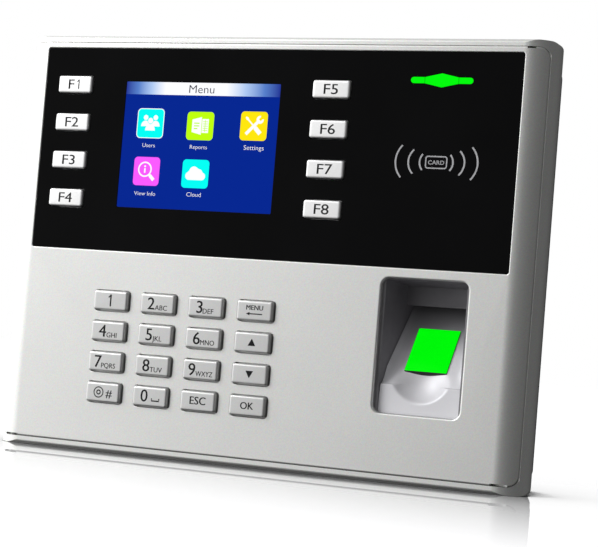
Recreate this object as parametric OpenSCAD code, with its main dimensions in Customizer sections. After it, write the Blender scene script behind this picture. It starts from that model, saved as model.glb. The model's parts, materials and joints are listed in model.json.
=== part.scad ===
// Wall-mounted fingerprint and card terminal with a keypad, function keys and a colour display.
// Frame: +X to the right as seen from the front, -Y towards the user, +Z up.
// The origin is at the middle of the footprint, on the surface that the terminal stands on.
// Every depth in this file is measured backwards from the flat front face.

/* [Body] */
// Overall width
body_w = 215; // [213:0.5:221]
// Overall height
body_h = 160; // [159:0.5:164]
// Overall depth, key tops to wall
body_d = 45; // [44.5:0.5:50]
// Wall thickness of the plastic shells
wall = 2.2; // [2:0.1:2.4]
// Radius of the rounded left and right sides
side_r = 11; // [10.6:0.1:11.2]
// Width of the housing where it meets the rear cover
tail_w = 200; // [199.8:0.2:201]

/* [Display] */
// Width of the black display panel
panel_w = 193.6; // [193:0.2:194.4]
// Height of the black display panel
panel_h = 78.1; // [78:0.1:78.3]
// Gap from the top of the body to the display panel
panel_top_gap = 5; // [4.8:0.1:5.1]
// Width of the visible screen
screen_w = 64.8; // [64:0.2:65.4]
// Height of the visible screen
screen_h = 48.4; // [48:0.2:48.8]

/* [Keypad] */
// Width of a keypad key
key_w = 14.5; // [13.5:0.1:15]
// Height of a keypad key
key_h = 7.4; // [6.8:0.1:7.8]
// Distance between keypad columns
key_pitch_x = 20.2; // [19.8:0.1:20.6]
// Distance between keypad rows
key_pitch_z = 11.7; // [11:0.1:12]
// How far a keypad key stands out of the face
key_proud = 1.8; // [1.2:0.1:2]
// How far a key is pressed in
key_travel = 1; // [0.6:0.1:1]

/* [Function keys] */
// Width of a function key
fkey_w = 14.8; // [13.5:0.1:14.8]
// Height of a function key
fkey_h = 6.7; // [6:0.1:7]
// Distance between function keys
fkey_pitch = 14.75; // [14:0.05:14.8]
// How far a function key stands out of the panel
fkey_proud = 0.8; // [0.6:0.1:1]

/* [Finger recess] */
// Width of the recess mouth
recess_w = 33; // [32.5:0.5:33.5]
// Height of the recess mouth
recess_h = 48.5; // [48:0.5:49]
// Slope of the finger ramp from the horizontal, in degrees
ramp_angle = 51; // [50.5:0.5:51.5]
// Width of the sensor glass
glass_w = 16.2; // [15:0.1:16.6]
// Length of the sensor glass up the ramp
glass_l = 20.4; // [19:0.1:20.8]

/* [Wall bracket] */
// Width between the wall screw holes
bolt_pitch_x = 120; // [118:1:122]
// Height between the wall screw holes
bolt_pitch_z = 56; // [54:1:58]
// Radius of a wall screw hole
bolt_r = 2.25; // [2.1:0.05:2.5]

/* [Hidden] */
$fn = 64;

silver = [0.74, 0.75, 0.76];
key_silver = [0.80, 0.81, 0.83];
black = [0.05, 0.05, 0.06];
board_green = [0.05, 0.32, 0.14];
steel = [0.62, 0.63, 0.65];

// Front face and wall plane
face_y = -body_d / 2 + key_proud;
wall_d = body_d - key_proud;

// Side curves: their centre line and how the two shells lie on them
half_w = body_w / 2;
side_x = half_w - side_r;
lip = 0.4;
curve_d = side_r + lip;
cover_back = 3.95;
split_gap = 0.1;
side_gap = 0.7;

// Front cover edges
cover_low = 2.9;
cover_high = body_h - 2.6;
cover_corner = 4.3;
cover_reach = side_x + sqrt(pow(curve_d, 2) - pow(curve_d - cover_back, 2)) + 0.3;
body_corner = 2.5;
ledge_back = 6.6;

// Display panel
panel_half = panel_w / 2;
panel_high = body_h - panel_top_gap;
panel_low = panel_high - panel_h;
panel_front = 0.25;
panel_back = 1.75;
panel_floor = 3.35;

// Screen, left of the middle
screen_x = -28.6;
screen_z = 118.1;
screen = [screen_x - screen_w / 2, screen_x + screen_w / 2];
screen_rows = [screen_z - screen_h / 2, screen_z + screen_h / 2];

// Keys
key_x0 = -59.1;
key_z0 = 57.65;
fkey_z0 = 140.7;
fkey_left = -83.4;
fkey_right = 24.5;
key_clear = 0.35;
flange = 0.8;
flange_t = 0.8;
dome_h = 1.3;
mat_t = 0.8;
board_t = 1.6;
mat_gap = key_travel + 0.3;

// Finger recess, with the ramp's origin at the middle of the sensor glass
recess_x = 66.4;
recess_low = 24.6;
recess_high = recess_low + recess_h;
ramp_d = 14.5;
ramp_z = 48;
glass_proud = 0.5;
glass_t = 1.2;
ramp_t = 1.8;
plate_d = 3.2;
plate_high = 35.2;
scoop_r = 13.5;
scoop_ring = 11.3;
scoop_z = 40.3;
pocket_back = 30;

// Status light and card antenna
status_x = 66.7;
status_z = 144.75;
card_z = 115.2;

// Rear shell and main board
housing_back = 35;
rear_back = wall_d - 0.5;
rear_floor = rear_back - 3.2;
rear_half = 99;
rear_rows = [3.5, 156.5];
rear_corner = 4;
hatch_half = 88;
hatch_rows = [20, 140];
board_d = 20;
board_back = board_d + board_t;
socket_low = 59;
bay_x = [-62, 32];
bay_z = [24, 58];
bay_d = 24;
bay_wall = 2;
tray_flange = 1.5;

// Wall bracket
plate_t = 1.5;
bracket_half = 70;
bracket_rows = [16, 134];
bracket_d = wall_d - plate_t;
bracket_seat = bracket_d - 0.2;
bolt_z = 100;
hook_x = 50;
hook_z = 110;
lock_d = 39.5;
lock_rows = [10.8, 15.5];

// Fasteners
pilot_r = 1.3;
shank_r = 1.25;
head_r = 2.7;
head_h = 1.8;
rear_screw_x = 93.5;
rear_screw_rows = [14, 77.5, 143.4];
cover_screw_x = [-88, 0, 88];
cover_screw_rows = [8.5, 152];
tab_d = 10;

// ---- Drawing helpers ------------------------------------------------------

// A box given by its ranges across, in depth and in height
module slab(x, d, z)
    translate([x[0], face_y + d[0], z[0]])
        cube([x[1] - x[0], d[1] - d[0], z[1] - z[0]]);

// Extrudes a front view, drawn in X and Z, through a range of depth
module front_view(d)
    translate([0, face_y + d[1], 0]) rotate([90, 0, 0]) linear_extrude(d[1] - d[0]) children();

// Extrudes a plan view, drawn in X and depth, through a range of height
module plan_view(z)
    translate([0, face_y, z[0]]) linear_extrude(z[1] - z[0]) children();

// Extrudes a side view, drawn in depth and Z, across a range of width
module side_view(x)
    translate([x[0], face_y, 0]) rotate([90, 0, 90]) linear_extrude(x[1] - x[0]) children();

// A round bar along the depth
module rod(x, z, r, d)
    translate([x, face_y + d[1], z]) rotate([90, 0, 0]) cylinder(h = d[1] - d[0], r = r);

// A round bar up the height
module post(x, d, r, z)
    translate([x, face_y + d, z[0]]) cylinder(h = z[1] - z[0], r = r);

// A rectangle with rounded corners
module round_rect(x, z, r) {
    translate([x[0] + r, z[0]]) square([x[1] - x[0] - 2 * r, z[1] - z[0]]);
    translate([x[0], z[0] + r]) square([x[1] - x[0], z[1] - z[0] - 2 * r]);
    for (px = [x[0] + r, x[1] - r], pz = [z[0] + r, z[1] - r])
        translate([px, pz]) circle(r);
}

// A rounded rectangle about a centre
module round_block(cx, cz, w, h, r)
    round_rect([cx - w / 2, cx + w / 2], [cz - h / 2, cz + h / 2], r);

// Plan of the body: a flat front, round sides of radius r and sides that narrow to the back
module body_plan(r, tail, back) {
    polygon([
        [-side_x, curve_d - r], [side_x, curve_d - r], [side_x + r, curve_d],
        [tail, back], [-tail, back], [-side_x - r, curve_d]
    ]);
    for (s = [-1, 1])
        translate([s * side_x, curve_d]) circle(r);
}

// A screw along the depth, with its head seated at a depth; dir is 1 for a head at the back
module screw(x, z, seat, len, dir) {
    translate([x, face_y + seat, z]) rotate([dir * 90, 0, 0]) cylinder(h = len, r = shank_r);
    difference() {
        translate([x, face_y + seat, z]) rotate([-dir * 90, 0, 0]) cylinder(h = head_h, r = head_r);
        translate([x, face_y + seat + dir * head_h, z]) {
            cube([3.2, 1.8, 0.8], center = true);
            cube([0.8, 1.8, 3.2], center = true);
        }
    }
}

// A flat flexible strip, seen from the side: up a face, round a fold and back to a board
module ribbon_side(d0, z0, z1, d1, t) {
    fold_r = 2;
    translate([d0, z0]) square([t, z1 - fold_r - z0]);
    translate([d0 + fold_r, z1 - t]) square([d1 - d0 - fold_r, t]);
    intersection() {
        translate([d0 + fold_r, z1 - fold_r])
            difference() {
                circle(fold_r);
                circle(fold_r - t);
            }
        translate([d0 - t, z1 - fold_r]) square([fold_r + t, fold_r + t]);
    }
}

// ---- Places ---------------------------------------------------------------

// Middle of the keypad key in a column and a row, counted from the top left
function key_x(col) = key_x0 + col * key_pitch_x;
function key_z(row) = key_z0 - row * key_pitch_z;
function fkey_z(row) = fkey_z0 - row * fkey_pitch;

// Heights of the two posts that sit between function keys
fpost_rows = [(fkey_z(0) + fkey_z(1)) / 2, (fkey_z(2) + fkey_z(3)) / 2];

// Posts that carry the keypad board
kpost_x = [key_x(0) - 14.9, key_x(3) + 14.5];
kpost_rows = [key_z(3) - 2.5, key_z(0) + 2.5];

// Draws a child in the ramp's own frame, with +Y up the ramp and +Z out towards the finger
module on_ramp()
    translate([recess_x, face_y + ramp_d, ramp_z]) rotate([ramp_angle, 0, 0]) children();

// Outline of the status light: a thin round-ended bar with a rhombus in its middle
module status_outline(grow) {
    bar_half = 11.75;
    bar_r = 1.1;
    shoulder = 6.4;
    peak = 2.5;
    r = bar_r + grow;
    round_block(status_x, status_z, 2 * (bar_half + grow), 2 * r, r - 0.01);
    polygon([
        [status_x - shoulder, status_z - r], [status_x, status_z - peak - grow],
        [status_x + shoulder, status_z - r], [status_x + shoulder, status_z + r],
        [status_x, status_z + peak + grow], [status_x - shoulder, status_z + r]
    ]);
}

// Every function key opening, grown by a clearance
module fkey_openings(grow)
    for (x = [fkey_left, fkey_right], row = [0:3])
        round_block(x, fkey_z(row), fkey_w + 2 * grow, fkey_h + 2 * grow, 1 + grow);

// ---- Shells ---------------------------------------------------------------

// Outer surface of the front cover, grown by a gap for the seat that it drops into
module cover_envelope(gap, back)
    intersection() {
        plan_view([0, body_h]) body_plan(curve_d + gap, tail_w / 2, housing_back);
        front_view([-1, back])
            round_rect([-cover_reach - gap, cover_reach + gap], [cover_low - gap, cover_high + gap],
                cover_corner + gap);
        slab([-half_w, half_w], [-1, back], [0, body_h]);
    }

// Curved front shell with its rim, the floor behind the display and all of its openings
module front_cover()
    color(silver) {
        rim = 2;
        difference() {
            cover_envelope(0, cover_back);
            difference() {
                plan_view([cover_low + rim, cover_high - rim])
                    body_plan(curve_d - wall, tail_w / 2 - wall, housing_back);
                slab([-panel_half - 0.8, panel_half + 0.8], [0, panel_floor], [panel_low - 1.5, cover_high]);
            }
            front_view([-1, panel_back])
                round_rect([-panel_half - 0.1, panel_half + 0.1], [panel_low - 0.1, panel_high + 0.1], 0.9);
            front_view([-1, 9]) {
                fkey_openings(key_clear);
                status_outline(0.15);
                round_block(screen_x, screen_z, screen_w + 0.4, screen_h + 0.4, 0.6);
                round_block(recess_x, recess_low + recess_h / 2, recess_w, recess_h, 3);
                for (col = [0:3], row = [0:3])
                    round_block(key_x(col), key_z(row), key_w + 2 * key_clear, key_h + 2 * key_clear, 1.2);
            }
            slab([97.5, 100.5], [-1, 3], [cover_high - 0.7, cover_high + 1]);
            for (s = [-1, 1])
                slab([s * 98.8 - 3, s * 98.8 + 3], [-1, 3], [cover_low - 1, cover_low + 0.8]);
        }
        // Posts for the keypad board, the two function boards and the housing
        for (x = kpost_x, z = kpost_rows)
            hollow_post(x, z, 2.3, wall - 0.2, keypad_board_d());
        for (x = [fkey_left, fkey_right], z = fpost_rows)
            hollow_post(x, z, 2.3, panel_floor - 0.2, function_board_d());
        for (x = cover_screw_x, z = cover_screw_rows)
            hollow_post(x, z, 2.4, wall - 0.2, tab_d);
    }

// A post on the back of a shell with a blind screw hole
module hollow_post(x, z, r, d0, d1)
    difference() {
        rod(x, z, r, [d0, d1]);
        rod(x, z, pilot_r, [d0 + 0.9, d1 + 1]);
    }

// Main silver housing: a deep frame, open at the front and at the service hatch
module main_housing()
    color(silver) {
        difference() {
            housing_envelope();
            cover_envelope(split_gap, cover_back + side_gap);
            front_view([cover_back - 0.5, ledge_back])
                round_rect([-100.4, 100.4], [5.4, body_h - 5], 3);
            intersection() {
                plan_view([wall + 0.2, body_h - wall - 0.2])
                    body_plan(side_r - wall, tail_w / 2 - wall - 0.1, housing_back);
                slab([-half_w, half_w], [ledge_back - 0.1, housing_back - 2.4], [0, body_h]);
            }
            slab([-hatch_half, hatch_half], [ledge_back, housing_back + 1], hatch_rows);
            for (s = [-1, 1], z = rear_screw_rows)
                rod(s * rear_screw_x, z, pilot_r, [25, housing_back + 1]);
        }
        for (s = [-1, 1], z = rear_screw_rows)
            difference() {
                rod(s * rear_screw_x, z, 3.4, [24, housing_back - 2]);
                rod(s * rear_screw_x, z, pilot_r, [25, housing_back]);
            }
        for (x = cover_screw_x) {
            cover_tab(x, [wall, 12.5], cover_screw_rows[0]);
            cover_tab(x, [148, body_h - wall], cover_screw_rows[1]);
        }
    }

// Outer shape of the housing, rounded along its front edges and at its four corners
module housing_envelope()
    intersection() {
        plan_view([0, body_h]) body_plan(side_r, tail_w / 2, housing_back);
        front_view([0, housing_back]) round_rect([-half_w, half_w], [0, body_h], body_corner);
        narrowing_side(1);
        narrowing_side(-1);
        side_view([-half_w, half_w]) {
            edge_r = 1.3;
            translate([lip + edge_r, 0]) square([housing_back - lip - edge_r, body_h]);
            translate([lip, edge_r]) square([edge_r + 1, body_h - 2 * edge_r]);
            for (z = [edge_r, body_h - edge_r])
                translate([lip + edge_r, z]) circle(edge_r);
        }
    }

// A rounded bar that follows one narrowing side of the housing and rounds its two long edges;
// it stands a hair proud of the flat sides, and s is 1 for the right side
module narrowing_side(s) {
    reach = 1.5 * body_w;
    proud = 0.04;
    translate([s * (half_w + proud), face_y + curve_d, 0])
        rotate([0, 0, s * atan((half_w - tail_w / 2) / (housing_back - curve_d))])
            translate([0, -face_y, 0]) front_view([-2 * body_d, 2 * body_d])
                round_rect([min(0, -s * reach), max(0, -s * reach)], [-proud, body_h + proud], body_corner);
}

// A tab inside the housing that a cover screw passes through
module cover_tab(x, z, hole_z)
    difference() {
        slab([x - 5, x + 5], [tab_d, tab_d + 2], z);
        rod(x, hole_z, 1.6, [tab_d - 1, tab_d + 3]);
    }

// Black rear shell with the tray's opening, the bracket's seat and the speaker slots
module rear_cover()
    color(black) {
        difference() {
            union() {
                difference() {
                    front_view([housing_back, rear_back])
                        round_rect([-rear_half, rear_half], rear_rows, rear_corner);
                    front_view([housing_back - 1, rear_floor])
                        round_rect([-rear_half + wall, rear_half - wall],
                            [rear_rows[0] + wall, rear_rows[1] - wall], rear_corner - 1);
                }
                front_view([housing_back - 2, rear_floor + 0.1]) hatch_ring();
                for (s = [-1, 1], z = rear_screw_rows)
                    rod(s * rear_screw_x, z, 3.4, [housing_back, rear_floor + 0.1]);
                for (p = board_posts)
                    rod(p[0], p[1], 3, [board_back, rear_floor + 0.1]);
                for (s = [-1, 1], t = [-1, 1])
                    rod(s * bolt_pitch_x / 2, bolt_z + t * bolt_pitch_z / 2, 7, [rear_floor - 3, rear_floor + 0.1]);
            }
            tray_block([rear_floor - 1, rear_back + 1], 0.1);
            slab([-bracket_half - 1, bracket_half + 1], [bracket_seat, rear_back + 1],
                [bracket_rows[0] - 1, bracket_rows[1] + 1]);
            for (s = [-1, 1], z = rear_screw_rows) {
                rod(s * rear_screw_x, z, 1.6, [housing_back - 1, rear_back]);
                rod(s * rear_screw_x, z, 3.1, [rear_floor - 1.2, rear_back + 1]);
            }
            for (p = board_posts)
                rod(p[0], p[1], pilot_r, [board_back - 1, rear_floor - 2]);
            for (s = [-1, 1], t = [-1, 1])
                rod(s * bolt_pitch_x / 2, bolt_z + t * bolt_pitch_z / 2, 5.4, [rear_floor - 1.5, rear_back + 1]);
            for (s = [-1, 1])
                slab([s * hook_x - 6.5, s * hook_x + 6.5], [rear_floor - 1, rear_back + 1],
                    [hook_z - 7.4, hook_z + 0.15]);
            slab([-9, 9], [rear_floor - 1, rear_back + 1], lock_rows);
            post(0, lock_d, 1.7, [rear_rows[0] - 1, lock_rows[0] + 0.2]);
            for (i = [-2:2])
                front_view([rear_floor - 1, rear_back + 1])
                    round_block(speaker_x, speaker_z + 2.6 * i, 12 - 1.2 * abs(i), 1.2, 0.5);
        }
    }

// Upright ring that locates the rear cover in the housing's hatch
module hatch_ring()
    difference() {
        square_range([-hatch_half + 0.2, hatch_half - 0.2], [hatch_rows[0] + 0.2, hatch_rows[1] - 0.2]);
        square_range([-hatch_half + 1.8, hatch_half - 1.8], [hatch_rows[0] + 1.8, hatch_rows[1] - 1.8]);
    }

// A plain rectangle given by its ranges
module square_range(x, z)
    translate([x[0], z[0]]) square([x[1] - x[0], z[1] - z[0]]);

// The cable tray's outer block through a range of depth, grown by a clearance
module tray_block(d, grow)
    slab([bay_x[0] - bay_wall - grow, bay_x[1] + bay_wall + grow], d,
        [bay_z[0] - bay_wall - grow, bay_z[1] + bay_wall + grow]);

// Black tray around the cable bay, with a flange behind the rear cover and socket windows in its roof
module cable_tray()
    color(black)
        difference() {
            union() {
                tray_block([bay_d - bay_wall, bracket_seat], 0);
                slab([bay_x[0] - bay_wall - tray_flange, bay_x[1] + bay_wall + tray_flange],
                    [rear_floor - 1.3, rear_floor - 0.1], [bay_z[0] - 1, bay_z[1] + bay_wall + tray_flange]);
            }
            slab(bay_x, [bay_d, rear_back + 1], bay_z);
            socket_windows();
        }

// Openings in the roof of the cable tray for the sockets above it
module socket_windows()
    for (s = sockets)
        slab([s[0] - 0.2, s[0] + s[1] + 0.2], [board_back - 0.2, board_back + s[2] + 0.2],
            [bay_z[1] - 1, bay_z[1] + bay_wall + 1]);

// Steel back plate with wall holes, a cable window, two hooks and a locking tab
module wall_bracket()
    color(steel)
        difference() {
            union() {
                front_view([bracket_d, wall_d])
                    round_rect([-bracket_half, bracket_half], bracket_rows, 4);
                slab([-8, 8], [bracket_d, wall_d], [11.5, bracket_rows[0] + 1]);
                slab([-8, 8], [37, wall_d], [11.5, 11.5 + plate_t]);
                for (s = [-1, 1])
                    hook(s * hook_x);
            }
            slab([bay_x[0], bay_x[1]], [bracket_d - 1, wall_d + 1], [bay_z[0], bay_z[1] + 2]);
            for (s = [-1, 1], t = [-1, 1])
                rod(s * bolt_pitch_x / 2, bolt_z + t * bolt_pitch_z / 2, bolt_r, [bracket_d - 1, wall_d + 1]);
            post(0, lock_d, pilot_r, [11, 14]);
        }

// One hook of the bracket: a shelf with a lip that turns up behind the rear cover
module hook(x) {
    slab([x - 6, x + 6], [rear_floor - plate_t, bracket_d + 0.5], [hook_z - plate_t, hook_z]);
    slab([x - 6, x + 6], [rear_floor - plate_t, rear_floor - 0.2], [hook_z - plate_t, hook_z + 4.5]);
}

// Security screw that holds the terminal on the bracket from below
module lock_screw()
    color(steel) {
        post(0, lock_d, 1.2, [rear_rows[0] - 0.1, 15]);
        difference() {
            post(0, lock_d, 2.8, [rear_rows[0] - 2.1, rear_rows[0]]);
            translate([0, face_y + lock_d, rear_rows[0] - 2.1])
                cylinder(h = 2.4, r = 1.3, $fn = 6, center = true);
        }
    }

// ---- Display and lights ---------------------------------------------------

// Glossy black panel with openings for the screen, the function keys and the status light
module display_panel()
    color(black)
        front_view([panel_front, panel_back])
            difference() {
                round_rect([-panel_half, panel_half], [panel_low, panel_high], 0.8);
                round_block(screen_x, screen_z, screen_w + 0.1, screen_h + 0.1, 0.4);
                fkey_openings(key_clear);
                status_outline(0.05);
            }

// Metal frame and backlight of the display module
module lcd_frame()
    color(steel)
        difference() {
            slab([screen[0] - 4.3, screen[1] + 4.5], [panel_floor + 0.05, 8], [screen_rows[0] - 4, screen_rows[1] + 4]);
            slab([screen[0] - 2.5, screen[1] + 2.5], [7.2, 9], [screen_rows[0] - 2, screen_rows[1] + 2]);
            slab([screen[0] - 0.1, screen[1] + 0.1], [0, 3.6], [screen_rows[0] - 0.1, screen_rows[1] + 0.1]);
        }

// Front glass of the display, flush in the panel
module lcd_screen()
    color([0.02, 0.15, 0.55])
        front_view([panel_front + 0.1, 3.6])
            round_block(screen_x, screen_z, screen_w, screen_h, 0.4);

// Green light guide above the card area
module status_lens()
    color([0.05, 0.9, 0.1])
        front_view([panel_front - 0.1, 5]) status_outline(0);

// Small board with three lamps behind the light guide
module status_board()
    color(board_green) {
        difference() {
            slab([status_x - 15, status_x + 15], [6.2, 6.2 + board_t], [status_z - 6, status_z + 6]);
            for (s = [-1, 1])
                rod(status_x + s * 13, status_z - 4, 1, [6, 8]);
        }
        for (i = [-1:1])
            slab([status_x + 7.5 * i - 1, status_x + 7.5 * i + 1], [5.2, 6.2], [status_z - 1, status_z + 1]);
    }

// Card reader antenna: a thin board with printed turns round an open middle
module rfid_antenna()
    color(board_green) {
        front_view([panel_floor + 0.1, panel_floor + 1])
            difference() {
                round_block(recess_x, card_z, 40, 34, 2);
                round_block(recess_x, card_z, 16, 12, 2);
            }
        for (i = [0:3])
            front_view([panel_floor + 1, panel_floor + 1.1])
                difference() {
                    round_block(recess_x, card_z, 38 - 4 * i, 32 - 4 * i, 1);
                    round_block(recess_x, card_z, 36.6 - 4 * i, 30.6 - 4 * i, 1);
                }
    }

// ---- Keys -----------------------------------------------------------------

// A key cap with the flange that holds it behind the shell
module key_cap(x, z, w, h, front, skin) {
    front_view([front, skin + key_clear]) round_block(x, z, w, h, 1);
    front_view([skin + key_clear, skin + key_clear + flange_t])
        round_block(x, z, w + 2 * flange, h + 2 * flange, 1);
}

// One of the sixteen keypad keys
module keypad_key(col, row)
    color(key_silver) key_cap(key_x(col), key_z(row), key_w, key_h, -key_proud, wall);

// One of the eight function keys
module function_key(x, row)
    color(key_silver) key_cap(x, fkey_z(row), fkey_w, fkey_h, -fkey_proud, panel_floor);

// Depths of the switch boards behind the two kinds of key
function mat_d(skin) = skin + key_clear + flange_t + mat_gap;
function keypad_board_d() = mat_d(wall) + mat_t;
function function_board_d() = mat_d(panel_floor) + mat_t;

// Rubber dome that carries a key
module dome(x, z, back)
    translate([x, face_y + back, z]) rotate([90, 0, 0]) cylinder(h = mat_gap, r1 = 2.8, r2 = 1.9);

// Silicone mat under the keypad
module keypad_mat()
    color([0.75, 0.75, 0.72]) {
        front_view([mat_d(wall), mat_d(wall) + mat_t])
            round_rect([key_x(0) - 10.5, key_x(3) + 10.5], [key_z(3) - 6, key_z(0) + 6], 2);
        for (col = [0:3], row = [0:3])
            dome(key_x(col), key_z(row), mat_d(wall));
    }

// The two silicone mats under the function keys
module function_mats()
    color([0.75, 0.75, 0.72])
        for (x = [fkey_left, fkey_right]) {
            front_view([mat_d(panel_floor), mat_d(panel_floor) + mat_t])
                difference() {
                    round_rect([x - 10, x + 10], [fkey_z(3) - 6, fkey_z(0) + 6], 2);
                    for (z = fpost_rows)
                        translate([x, z]) circle(2.6);
                }
            for (row = [0:3])
                dome(x, fkey_z(row), mat_d(panel_floor));
        }

// Switch board of the keypad, with a ribbon socket on its back
module keypad_board()
    color(board_green) {
        d = keypad_board_d();
        difference() {
            slab([kpost_x[0] - 3.5, kpost_x[1] + 3.5], [d, d + board_t], [key_z(3) - 7.5, key_z(0) + 8]);
            for (x = kpost_x, z = kpost_rows)
                rod(x, z, 1.5, [d - 1, d + board_t + 1]);
        }
        slab([-22, 2], [d + board_t, d + board_t + 2], [52, 56]);
    }

// The two switch boards of the function keys
module function_boards()
    color(board_green)
        for (x = [fkey_left, fkey_right])
            difference() {
                slab([x - 11.5, x + 11.5], [function_board_d(), function_board_d() + board_t],
                    [fkey_z(3) - 8, fkey_z(0) + 7.5]);
                for (z = fpost_rows)
                    rod(x, z, 1.5, [function_board_d() - 1, function_board_d() + 3]);
            }

// ---- Finger reader --------------------------------------------------------

// Plan of the recess: side walls that close in towards the back
module recess_plan(front, back, gap)
    polygon([
        [recess_x - recess_w / 2 + 1 + gap, front], [recess_x + recess_w / 2 - 1 - gap, front],
        [recess_x + 12.2 - gap, back], [recess_x - 12.2 + gap, back]
    ]);

// Dark surround of the finger recess: side walls, sloped roof, back wall and lower sill
module finger_pocket()
    color([0.16, 0.16, 0.17])
        difference() {
            side_view([recess_x - 19.5, recess_x + 19.5])
                polygon([
                    [wall, 21.5], [wall, 74.6], [22, 74.6], [22, 66.5], [pocket_back, 66.5],
                    [pocket_back, 36], [15, 21.5]
                ]);
            intersection() {
                side_view([recess_x - 20, recess_x + 20])
                    polygon([
                        [wall - 1, recess_low], [wall - 1, recess_high - 0.1], [20, 71.4],
                        [20, 64.4], [pocket_back + 1, 64.4], [pocket_back + 1, recess_low]
                    ]);
                plan_view([0, body_h]) recess_plan(wall - 1, pocket_back + 1, 0);
            }
            for (s = [-1, 1])
                rod(recess_x + s * 16, 58, pilot_r, [20, pocket_back + 1]);
        }

// Silver finger rest: an upright front plate, the ramp and the scoop for the fingertip
module finger_rest()
    color(silver)
        difference() {
            intersection() {
                side_view([recess_x - 20, recess_x + 20])
                    polygon([
                        [plate_d, recess_low + 0.05], [plate_d, plate_high - 0.3], [plate_d + 0.4, plate_high],
                        [ramp_depth(plate_high + 0.1), plate_high + 0.1], [ramp_depth(64.35), 64.35],
                        [29.7, 64.35], [29.7, 63.6],
                        [9.2, 38.3], [11.8, 35.8], [11.8, recess_low + 0.05]
                    ]);
                plan_view([0, body_h]) recess_plan(wall - 1, pocket_back + 1, 0.05);
            }
            translate([recess_x, face_y + plate_d - sqrt(pow(scoop_r, 2) - pow(scoop_ring, 2)), scoop_z])
                sphere(scoop_r, $fn = 96);
            on_ramp() cube([glass_w + 0.3, glass_l + 0.3, 8], center = true);
        }

// Depth of the ramp's surface at a height
function ramp_depth(z) = ramp_d + (z - ramp_z) / tan(ramp_angle);

// Optical fingerprint reader under the ramp
module sensor_module()
    color([0.1, 0.1, 0.11])
        on_ramp() {
            top = glass_proud - glass_t;
            translate([-glass_w / 2, -glass_l / 2, -ramp_t - 0.2]) cube([glass_w, glass_l, ramp_t + 0.2 + top]);
            translate([-11, -10.4, -10]) cube([22, 22.2, 10 - ramp_t - 0.35]);
        }

// Glass that the finger touches
module sensor_glass()
    color([0.1, 0.85, 0.2])
        on_ramp()
            translate([-glass_w / 2, -glass_l / 2, glass_proud - glass_t]) cube([glass_w, glass_l, glass_t]);

// Steel strap that holds the reader against the ramp
module sensor_retainer()
    color(steel)
        difference() {
            slab([recess_x - 19, recess_x + 19], [pocket_back, pocket_back + plate_t], [42, 62]);
            for (s = [-1, 1])
                rod(recess_x + s * 16, 58, 1.6, [pocket_back - 1, pocket_back + 3]);
        }

// ---- Electronics ----------------------------------------------------------

// Sockets over the cable bay: left edge, width and height above the board
rj45 = [-54, 16, 13.5];
usb = [-30, 14.5, 7.2];
jack = [-8, 9, 11];
terminals = [6, 23.4, 10];
sockets = [rj45, usb, jack, terminals];
board_posts = [[-46, 134], [34, 134], [-57, 88], [36, 88]];
speaker_x = 78;
speaker_z = 105;
cell_x = -38;
cell_z = 112;

// Main circuit board with its larger components
module main_board()
    color(board_green) {
        difference() {
            union() {
                slab([-62, 42], [board_d, board_back], [62, 140]);
                slab([33.5, 42], [board_d, board_back], [48, 62.1]);
            }
            for (p = board_posts)
                rod(p[0], p[1], 1.5, [board_d - 1, board_back + 1]);
        }
        slab([-4, 24], [board_d - 2.4, board_d], [98, 126]);
        slab([-14, -8], [board_d - 1.4, board_d], [98, 112]);
        slab([-42, -10], [board_d - 2, board_d], [77.6, 82.4]);
        slab([-22, 2], [board_d - 2, board_d], [67.6, 72.4]);
        slab([34.5, 41], [board_back, board_back + 2.4], [50, 58]);
        slab([10, 29], [board_back, board_back + 14.5], [96, 111]);
        for (i = [0:2])
            translate([-20 + 9 * i, face_y + board_back, 122]) rotate([-90, 0, 0]) cylinder(h = 9, r = 3.2);
    }

// Network socket with its mouth facing down into the bay
module network_socket()
    color(steel)
        difference() {
            slab([rj45[0], rj45[0] + rj45[1]], [board_back, board_back + rj45[2]], [socket_low, 80]);
            slab([rj45[0] + 2.15, rj45[0] + 13.85], [24, 32.3], [socket_low - 1, 73]);
            slab([rj45[0] + 5, rj45[0] + 11], [32.2, 34.2], [socket_low - 1, 73]);
        }

// USB socket with its contact tongue
module usb_socket()
    color(steel) {
        difference() {
            slab([usb[0], usb[0] + usb[1]], [board_back, board_back + usb[2]], [socket_low, 74]);
            slab([usb[0] + 0.95, usb[0] + 13.55], [22.6, 27.8], [socket_low - 1, 71]);
        }
        slab([usb[0] + 1.6, usb[0] + 12.9], [25.4, 27.2], [60.5, 71.1]);
    }

// Power jack with its centre pin
module power_jack()
    color(black) {
        difference() {
            slab([jack[0], jack[0] + jack[1]], [board_back, board_back + jack[2]], [socket_low, 73]);
            post(jack[0] + jack[1] / 2, 27.6, 3.1, [socket_low - 1, 69.5]);
        }
        post(jack[0] + jack[1] / 2, 27.6, 1, [61.5, 69.6]);
    }

// Screw terminals for the door lock and the exit button
module terminal_block()
    color([0.1, 0.45, 0.2])
        difference() {
            slab([terminals[0], terminals[0] + terminals[1]], [board_back, board_back + terminals[2]], [socket_low, 70]);
            for (i = [0:5]) {
                slab([terminals[0] + 1 + 3.8 * i, terminals[0] + 3.6 + 3.8 * i], [23.5, 27.5], [socket_low - 1, 66]);
                rod(terminals[0] + 2.3 + 3.8 * i, 65.5, 1.3, [29, 33]);
            }
        }

// Round speaker behind the slots of the rear cover
module speaker()
    color([0.2, 0.2, 0.22]) {
        rod(speaker_x, speaker_z, 7.9, [rear_floor - 2.5, rear_floor]);
        rod(speaker_x, speaker_z, 5, [rear_floor - 5.5, rear_floor - 2.4]);
    }

// Coin cell that keeps the clock running
module clock_cell()
    color(steel) {
        rod(cell_x, cell_z, 10, [board_d - 4.2, board_d - 1.4]);
        rod(cell_x, cell_z, 8.8, [board_d - 4.5, board_d - 4.1]);
    }

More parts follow.
